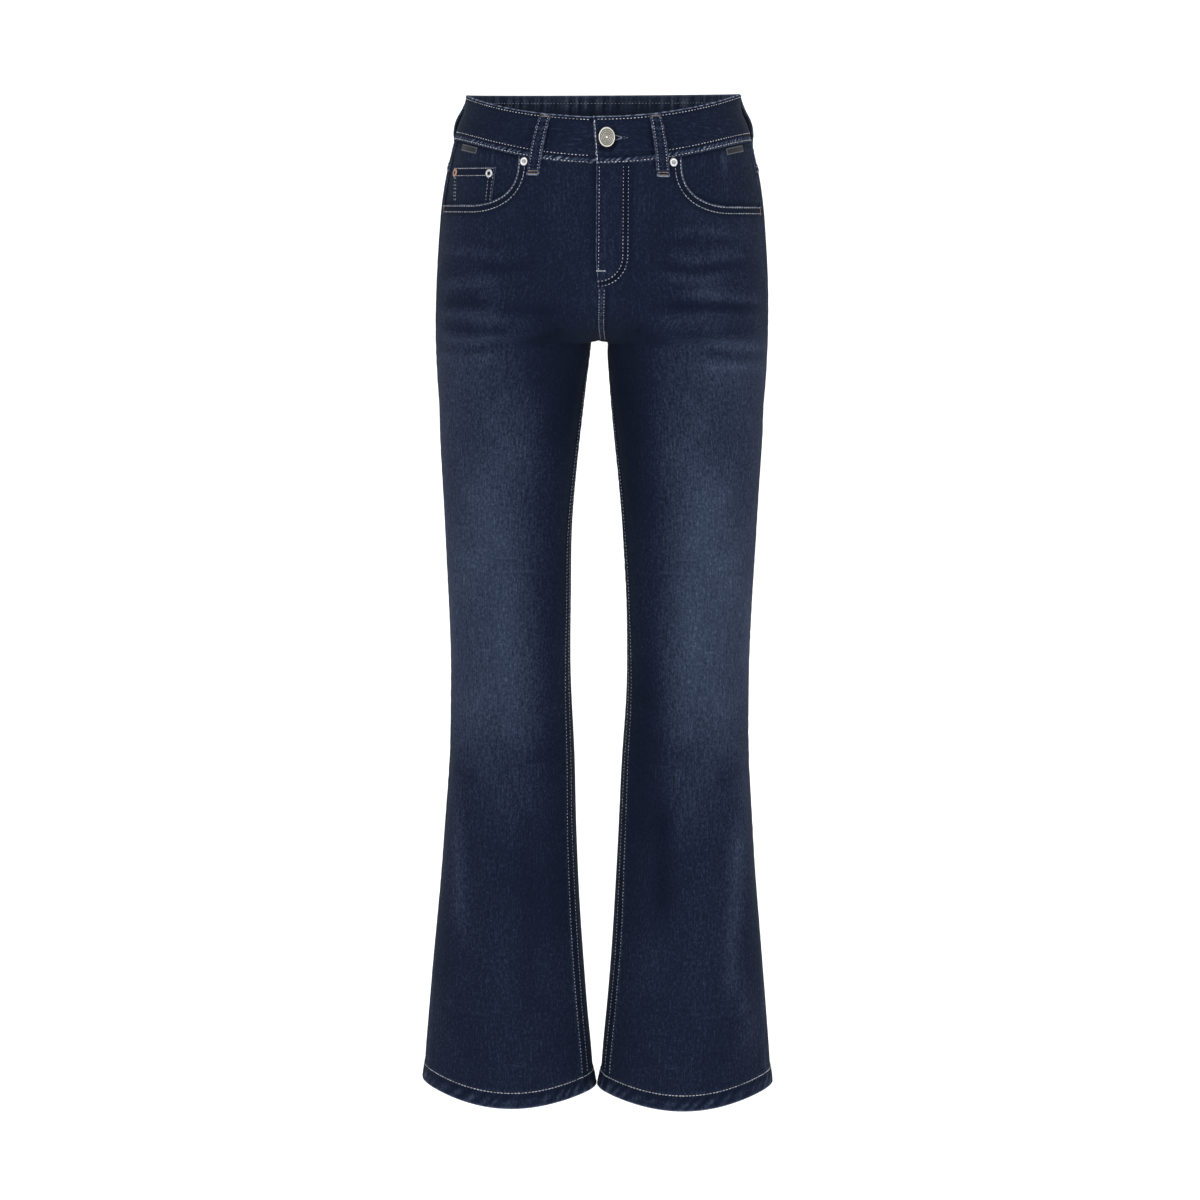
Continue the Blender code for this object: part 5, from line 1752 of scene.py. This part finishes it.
def add_yoke_rows(side):
    """Two rows along the lower edge, and beside the centre seam on the wearer's left."""
    group = "stitches_yoke_" + WORDS[side]
    share = np.linspace(0, 1, 300)
    for distance in CENTRE_ROWS:
        inner, outer = end_angles(np.full(300, -0.09), "back", side)
        z = yoke_seam_z(inner + (outer - inner) * share) + distance
        inner, outer = end_angles(z, "back", side)
        add_row(group, *yoke_line(side, inner + (outer - inner) * share, z))
    if side == LEFT:
        top, low = band_seam_z(1.5 * math.pi), yoke_seam_z(1.5 * math.pi)
        z = np.linspace(float(top) - 0.002, float(low) + 0.001, 80)
        for distance in CENTRE_ROWS:
            add_row(group, *yoke_line(side, beside_inner(side, "back", z, distance), z))


def patch_line(side, across, down):
    psi, z, _, face, _ = patch_lift(side, across, down)
    return face_line(side, psi, z, face)


def add_patch_rows(side):
    """Two rows inside the sides and the pointed bottom, two across the hemmed top."""
    group = "stitches_back_pocket_" + WORDS[side]
    half, tall, point = PATCH_WIDTH / 2, PATCH_SIDE_HEIGHT, PATCH_POINT_DROP
    lean = math.cos(math.atan2(point, half))
    for d in PATCH_ROWS:
        down = np.linspace(0.012, 1 - d / lean / tall, 120)
        edge = 1 - d / (half * (1 - PATCH_TAPER * down))
        bottom = np.linspace(float(edge[-1]), float(-edge[-1]), 160)
        bottom_down = 1 - d / lean / (tall + point * (1 - np.abs(bottom)))
        across = np.concatenate([edge, bottom[1:-1], -edge[::-1]])
        downs = np.concatenate([down, bottom_down[1:-1], down[::-1]])
        add_row(group, *patch_line(side, across, downs))
    across = np.linspace(-0.97, 0.97, 160)
    for d in PATCH_HEM_ROWS:
        add_row(group, *patch_line(side, across, d / (tall + point * (1 - np.abs(across)))))


def coin_line(across, down):
    psi, z = coin_grid(across, down)
    return face_line(RIGHT, psi, z, coin_lift(across, down)[0])


def add_coin_rows():
    across = np.linspace(0.03, 0.97, 100)
    for d in COIN_ROWS:
        add_row("stitches_coin", *coin_line(across, np.full(100, d / COIN_POCKET_DEPTH)),
                pitch=0.0030, cover=CLOSE)
    down = np.linspace(0.05, 0.76, 80)
    for share in (0.030, 0.125, 0.915, 0.955):
        add_row("stitches_coin", *coin_line(np.full(80, share), down), radius=0.00024)


def band_face(beta, down):
    z = band_z(beta, down)
    height, _ = band_relief(beta, down)
    rim_gap = np.minimum(down, 1 - down) * BAND_TALL
    return z, BAND_PROUD + height - 0.9 * edge_roll(rim_gap, 0.0011) - band_sink(beta)


def add_band_rows():
    """Rows round the face of the band; the upper lower row starts past the button's lap."""
    downs = (BAND_ROWS[0] / BAND_TALL, 1 - BAND_ROWS[1] / BAND_TALL, 1 - BAND_ROWS[2] / BAND_TALL)
    for down, first, last in zip(downs, (4.0, 4.0, 4.0), (361.3, 334.0, 361.3)):
        beta = np.radians(np.linspace(first, last, 1500))
        z, lift = band_face(beta, np.full(1500, down))
        add_row("stitches_band", ring_points(beta, z, lift), ring_normals(beta, z))
    beta = np.radians(np.linspace(16.0, 348.0, 1200))
    down = np.full(1200, 0.0085 / BAND_TALL)
    z = band_z(beta, down)
    inside = ring_points(beta, z, BAND_PROUD - BAND_WALL + band_lining(beta, down)[0])
    add_row("stitches_band_inside", inside, -ring_normals(beta, z))
    down = np.linspace(0.08, 0.94, 60)
    beta = math.radians(361.4) + LAP_SLANT * (0.5 - down)
    z, lift = band_face(beta, down)
    add_row("stitches_band", ring_points(beta, z, lift), ring_normals(beta, z), cover=CLOSE)


def add_loop_rows(loop):
    run = np.linspace(0.05, 0.95, 120)
    for across in LOOP_ROWS:
        face, _ = loop_face(run, np.full(120, across))
        beta, z, points = loop_place(loop, run, np.full(120, across), face)
        add_row("stitches_" + loop["name"], points, ring_normals(beta, z), pitch=0.0030)


for side in SIDES:
    add_yoke_rows(side)
    add_patch_rows(side)
add_coin_rows()
add_band_rows()
for loop in LOOPS:
    add_loop_rows(loop)
print("groups of rows:", len(ROWS))

# %% [markdown]
# ## Bartacks and the buttonhole
# Where a seam is pulled hardest it is sewn over with a bartack, a short bar of tight zigzag:
# both ends of each loop, the pocket mouths, the fly and the back pockets' corners.  The
# buttonhole's lips are the same tight stitches.  Solid bars would look like plastic, so the
# same stitch is laid side by side.

# %% Tight bars
def band_point(x, z):
    """Points of the band's face on the wearer's left, with their normals."""
    beta = 2.5 * math.pi - angle_at_x(x, z)
    top, low = ring_rim_z(beta), band_seam_z(ring_psi(beta))
    _, lift = band_face(beta, (z - top) / (low - top))
    return ring_points(beta, z, lift), ring_normals(beta, z)


def add_loop_bars(loop):
    across = np.linspace(-0.0050, 0.0050, 20)
    for run, width in ((0.040, 0.0016), (0.930, 0.0012), (0.972, 0.0012)):
        face, _ = loop_face(np.full(20, run), across)
        beta, z, points = loop_place(loop, np.full(20, run), across, face)
        add_bar("bartacks_" + loop["name"], points, ring_normals(beta, z), width, 0.00028)


def add_side_bars(side):
    z = mouth_z(0.1640) - np.linspace(0.0008, 0.0088, 16)
    psi = angle_at_x(0.1640, z)
    add_bar("bartack_mouth_" + WORDS[side], *panel_line(side, "front", psi, z), 0.0018, 0.00028)
    down = np.linspace(0.014, 0.085, 16)
    for corner in (-0.955, 0.955):
        add_bar("bartacks_back_pocket_" + WORDS[side],
                *patch_line(side, np.full(16, corner), down), 0.0026)


def add_front_bars():
    """The fly's bar, and the buttonhole's lips and tail to the right of the button."""
    x = np.linspace(-0.0024, 0.0070, 20)
    z = np.full(20, FLY_BAR_Z)
    add_bar("bartack_fly", *panel_line(LEFT, "front", angle_at_x(x, z), z), 0.0013, 0.00026)
    share = np.linspace(0, 1, 30)
    for up in (-1, 1):
        lip = (0.0130 + 0.0095 * share, BUTTON_Z + up * (0.0024 * (1 - share**1.6) + 0.0002))
        add_bar("buttonhole", *band_point(*lip), 0.0013, 0.00022)
        tail = (0.0238 + 0.0050 * share, BUTTON_Z + up * 0.0011 * (1 - share))
        add_row("buttonhole", *band_point(*tail), 0.0016, 0.00020)


for loop in LOOPS:
    add_loop_bars(loop)
for side in SIDES:
    add_side_bars(side)
add_front_bars()

OTHER_THREADS = {"stitches_band_inside": THREAD_BLUE, "buttonhole": THREAD_BLUE,
                 "stitches_band": THREAD_LIGHT,
                 "bartack_mouth_right": THREAD_COPPER, "bartack_mouth_left": THREAD_COPPER}
STITCHES = {}
for name, rows in ROWS.items():
    verts = np.concatenate(rows)
    thread = THREAD_RUST if "bartacks_belt" in name else OTHER_THREADS.get(name, THREAD)
    STITCHES[name] = put_mesh(name, verts, stitch_faces(len(verts) // 24), thread)
print("stitches:", sum(len(np.concatenate(rows)) // 24 for rows in ROWS.values()))

# %% [markdown]
# ## Button, rivets and side plates
# The button is a cast shank button with rings in its face, the rivets are pressed caps with
# a dimple, and the plates are small strips of dark metal.  The first two are turned shapes:
# a list of radii and heights is carried round a circle, which gives crisp rings that no bump
# would show at the edge.  Each row also has its own shine: dark grime in the grooves, and on
# the rims, the button's crown and the plates' edges a bright metal colour that is partly
# rubbed polish and partly painted highlight.

# %% Worn metal
def metal_material(name, light, dark, rough):
    """Bright where it is rubbed and where a painted highlight is laid, dark in the grooves,
    with fine scratches.
    """
    material, tree, shader = new_material(name, {"Metallic": 1.0})
    position = tree.nodes.new("ShaderNodeTexCoord").outputs["Object"]
    soil = noise(tree, position, (900.0, 900.0, 900.0), 3.0, 0.6)
    uneven = calc(tree, "MULTIPLY", calc(tree, "SUBTRACT", soil, 0.5), 0.7)
    shine = calc(tree, "ADD", attribute(tree, "shine"), uneven, clamp=True)
    middle = tuple(0.55 * a + 0.45 * b for a, b in zip(dark, light))
    stops = ((0.0, dark), (0.65, middle), (1.0, light))
    tree.links.new(ramp(tree, shine, stops), shader.inputs["Base Color"])
    tree.links.new(weighted(tree, rough, (soil, 0.20)), shader.inputs["Roughness"])
    add_bump(tree, shader, soil, 0.25, 0.0002)
    return material


METALS = {
    "button_metal": metal_material("pewter", srgb(220, 217, 208), srgb(76, 72, 66), 0.34),
    "silver_rivet": metal_material("silver", srgb(212, 212, 214), srgb(34, 34, 38), 0.28),
    "copper_rivet": metal_material("copper", srgb(184, 148, 132), srgb(44, 34, 34), 0.34),
    "tag_metal": metal_material("gunmetal", srgb(104, 108, 114), srgb(34, 36, 40), 0.42),
}
print("metals:", ", ".join(METALS))

# %% Turned shapes
BUTTON_RADIUS, BUTTON_TALL = 0.0102, 0.0052
BUTTON_PROFILE = (      # radius and height as shares, then shine
    (0.42, 0.00, 0.0), (0.42, 0.46, 0.0), (0.90, 0.52, 0.2), (0.98, 0.62, 0.6), (1.00, 0.72, 1.0),
    (0.97, 0.84, 1.2), (0.92, 0.90, 1.3), (0.86, 0.89, 1.1), (0.82, 0.80, 0.0), (0.77, 0.78, 0.2),
    (0.72, 0.83, 0.7), (0.66, 0.83, 0.6), (0.62, 0.78, 0.1), (0.56, 0.79, 0.3), (0.52, 0.83, 0.7),
    (0.46, 0.83, 0.6), (0.42, 0.78, 0.1), (0.36, 0.79, 0.3), (0.31, 0.83, 0.7), (0.25, 0.82, 0.5),
    (0.20, 0.78, 0.0), (0.13, 0.86, 0.9), (0.06, 0.97, 1.4))
RIVET_RADIUS, RIVET_TALL = 0.0044, 0.0014
RIVET_PROFILE = (
    (0.90, -0.30, 0.0), (1.00, 0.00, 0.3), (1.00, 0.34, 0.7), (0.93, 0.72, 1.0), (0.80, 0.96, 1.2),
    (0.64, 1.00, 1.3), (0.52, 0.90, 1.1), (0.44, 0.62, 0.5), (0.36, 0.34, 0.0), (0.20, 0.28, -0.2))
CAP_PROFILE = RIVET_PROFILE[:7] + ((0.44, 0.78, 0.6), (0.36, 0.68, 0.5), (0.20, 0.66, 0.6))


def turned(name, centre, axis, profile, radius, tall, slot, oval=1.0, sides=56):
    """Centre + radius (cos t u + sin t v) + height axis for each row of the profile, closed
    by a fan at both poles; u is level, and oval narrows it."""
    axis = unit(np.asarray(axis))
    level = unit(np.cross([0, 0, 1.0], axis))
    upward = np.cross(axis, level)
    rows = np.array(profile)
    t = np.linspace(0, 2 * math.pi, sides, endpoint=False)
    ring = np.cos(t)[:, None] * level * oval + np.sin(t)[:, None] * upward
    verts = (centre + ring[None] * (rows[:, :1, None] * radius)
             + axis * (rows[:, 1] * tall)[:, None, None]).reshape(-1, 3)
    ends = centre + axis * np.array([[rows[0, 1] * tall], [rows[-1, 1] * tall * 1.01]])
    i, j = np.mgrid[0:len(rows) - 1, 0:sides]
    after = (j + 1) % sides
    quads = np.stack([i * sides + j, i * sides + after, (i + 1) * sides + after,
                      (i + 1) * sides + j], axis=-1)
    k = np.arange(sides)
    last, bottom = (len(rows) - 1) * sides, len(verts)
    low_fan = np.stack([np.roll(k, -1), k, np.full(sides, bottom)], axis=1)
    top_fan = np.stack([last + k, last + np.roll(k, -1), np.full(sides, bottom + 1)], axis=1)
    faces = quads.reshape(-1, 4).tolist() + low_fan.tolist() + top_fan.tolist()
    obj = put_mesh(name + "_fine", np.concatenate([verts, ends]), faces, METALS[slot])
    shine = np.concatenate([np.repeat(rows[:, 2], sides), rows[[0, -1], 2]])
    point_values(obj.data, "shine", shine)
    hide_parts(name)


def on_cloth(side, x, z, lift):
    """A point above the front at x and z, and the outward direction there."""
    points, ways = face_line(side, angle_at_x(x, z), z, lift)
    return points[0], ways[0]


def make_button():
    """The button leans a little aside on its shank, as the lap pulls it."""
    point, out = band_point(np.array([BUTTON_X]), np.array([BUTTON_Z]))
    out = unit(out[0])
    aside = np.cross([0, 0, 1.0], out)
    axis = out * math.cos(BUTTON_LEAN) + aside * math.sin(BUTTON_LEAN)
    turned("button", point[0], axis, BUTTON_PROFILE, BUTTON_RADIUS, BUTTON_TALL, "button_metal",
           BUTTON_OVAL, sides=72)


BUTTON_LEAN, BUTTON_OVAL = math.radians(9.0), 0.83
POCKET_RIVET_X, POCKET_RIVET_Z = {RIGHT: 0.0769, LEFT: 0.0745}, -0.0712
COIN_RIVETS = (("rivet_coin_inner", 0.1143, -0.0830, "silver_rivet"),
               ("rivet_coin_outer", 0.1525, -0.0820, "copper_rivet"))
make_button()
for side in SIDES:
    x, z = np.array([POCKET_RIVET_X[side]]), np.array([POCKET_RIVET_Z])
    lift = panel_lift(side, "front", angle_at_x(x, z), z)[0]
    turned("rivet_pocket_" + WORDS[side], *on_cloth(side, x, z, lift), CAP_PROFILE,
           RIVET_RADIUS, RIVET_TALL, "silver_rivet")
for name, x, z, slot in COIN_RIVETS:
    x, z = np.array([x]), np.array([z])
    across = (x - COIN_POCKET_X) / (COIN_POCKET_END_X - COIN_POCKET_X)
    lift, _ = coin_lift(across, (COIN_POCKET_TOP_Z - z) / COIN_POCKET_DEPTH)
    turned(name, *on_cloth(RIGHT, x, z, lift), RIVET_PROFILE, RIVET_RADIUS, RIVET_TALL, slot)
print("turned metal: button and four rivets")

# %% Side plates under the waistband
TAG_LENGTH, TAG_HEIGHT, TAG_THICK = 0.030, 0.0068, 0.0008
TAG_X, TAG_Z, TAG_BELOW_SEAM = 0.139, -0.0565, 0.0022


def make_tag(side):
    """A bare bevelled strip that follows the hip, with a raised rim."""
    name = "side_tag_" + WORDS[side]
    near = np.array([0, 0.0002, 0.0005, 0.0009, 0.0014])
    across = np.concatenate([near, np.linspace(0.002, TAG_LENGTH - 0.002, 16),
                             TAG_LENGTH - near[::-1]])
    down = np.concatenate([near, [0.0024, 0.0034, 0.0044], TAG_HEIGHT - near[::-1]])
    across, down = np.meshgrid(across, down)
    middle = angle_at_x(TAG_X, TAG_Z)
    psi = middle + (across - TAG_LENGTH / 2) / 0.122
    z = band_seam_z(psi) - TAG_BELOW_SEAM - down
    edge = np.minimum(np.minimum(across, TAG_LENGTH - across), np.minimum(down, TAG_HEIGHT - down))
    low = cloth_height(side, psi, z) - facing_depth(side) + 0.0001
    sunk = 0.7 * edge_roll(edge, 0.0006) + 0.00025 * smooth_step((edge - 0.0008) / 0.0004)
    top = low + TAG_THICK - sunk
    obj = shell_mesh(name + "_fine", place(side, psi, z, top), place(side, psi, z, low),
                     np.stack([across, down], axis=-1), 0.0, METALS["tag_metal"])
    # bright edges: partly rubbed metal, partly a painted highlight on the bevel
    shine = (0.35 + 1.1 * bell((edge - 0.0006) / 0.0004)).ravel()
    point_values(obj.data, "shine", np.concatenate([shine, np.zeros(edge.size)]))
    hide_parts(name)


for side in SIDES:
    make_tag(side)
print("plates:", TAG_LENGTH, "x", TAG_HEIGHT, "m")

# %% [markdown]
# ## Each piece of cloth and the stitches on it
# The pieces keep the width, length and area they were worked out with, and the stitches that
# lie on each are looked up.

# %% Looking up each piece's stitches
GOES_WITH = {
    "waistband": ("stitches_band", "stitches_band_inside", "buttonhole"),
    "coin_pocket": ("stitches_coin",),
    "front_left": ("stitches_fly", "stitches_centre", "bartack_fly"),
}


def stitches_on(name):
    found = list(GOES_WITH.get(name, ()))
    found += [group for group in STITCHES if group in ("stitches_" + name, "bartacks_" + name)]
    if name.startswith("front"):
        starts = ("stitches_hem_", "stitches_inner_leg_", "stitches_mouth_", "bartack_mouth_")
        found += [start + name.split("_")[1] for start in starts]
    return [STITCHES[group] for group in found]


for name, (obj, width, length, area) in PIECES.items():
    stitches_on(name)
print("declared:", len(PIECES), "pieces of cloth")

# %% [markdown]
# ## Stage and light
# A pale floor that curves up into a backdrop, and broad soft lights, as in a plain studio.

# %% Floor, lights and colours of the picture
FLOOR_Z = -1.20


def make_stage():
    """A floor that turns up behind: a profile carried along X."""
    turn = np.linspace(0, 1, 40) * math.pi / 2
    flat = np.stack([np.linspace(-6, 3.0, 20), np.full(20, FLOOR_Z)], axis=1)
    bend = np.stack([3.0 + 2.0 * np.sin(turn), FLOOR_Z + 2.0 * (1 - np.cos(turn))], axis=1)
    wall = np.stack([np.full(10, 5.0), np.linspace(0.9, 7.0, 10)], axis=1)
    profile = np.concatenate([flat, bend[1:], wall])
    xs = np.linspace(-8, 8, 9)
    verts = np.array([[x, p[0], p[1]] for x in xs for p in profile])
    n = len(profile)
    i, j = np.mgrid[0:len(xs) - 1, 0:n - 1]
    a = (i * n + j).ravel()
    faces = np.stack([a, a + n, a + n + 1, a + 1], axis=1)
    material, _, _ = new_material("backdrop_paper", {
        "Base Color": (0.93, 0.93, 0.93, 1), "Roughness": 0.9,
        "Emission Color": (1, 1, 1, 1), "Emission Strength": 0.40})
    new_object("backdrop", verts, faces.tolist(), material)


def area_light(name, place_at, aim, size, power):
    data = bpy.data.lights.new(name, "AREA")
    data.shape = "RECTANGLE"
    data.size, data.size_y = size
    data.energy = power
    light = bpy.data.objects.new(name, data)
    bpy.context.collection.objects.link(light)
    away = unit(np.array(place_at) - np.array(aim))
    across = unit(np.cross([0, 0, 1.0], away))
    light.matrix_world = placed_matrix(across, np.cross(away, across), away, place_at)


make_stage()
area_light("key", (-2.2, -3.4, 1.6), (0, 0, -0.5), (2.4, 2.4), 58)
area_light("fill", (2.6, -3.0, 0.6), (0, 0, -0.6), (2.4, 2.8), 40)
area_light("top", (0.0, 0.4, 3.2), (0, 0.3, -0.6), (3.0, 3.0), 30)
world = bpy.data.worlds.new("studio")
world.use_nodes = True
world.node_tree.nodes["Background"].inputs["Color"].default_value = (1.0, 1.0, 1.0, 1)
world.node_tree.nodes["Background"].inputs["Strength"].default_value = 0.55
bpy.context.scene.world = world
bpy.context.scene.view_settings.view_transform = "Standard"
print("stage ready")
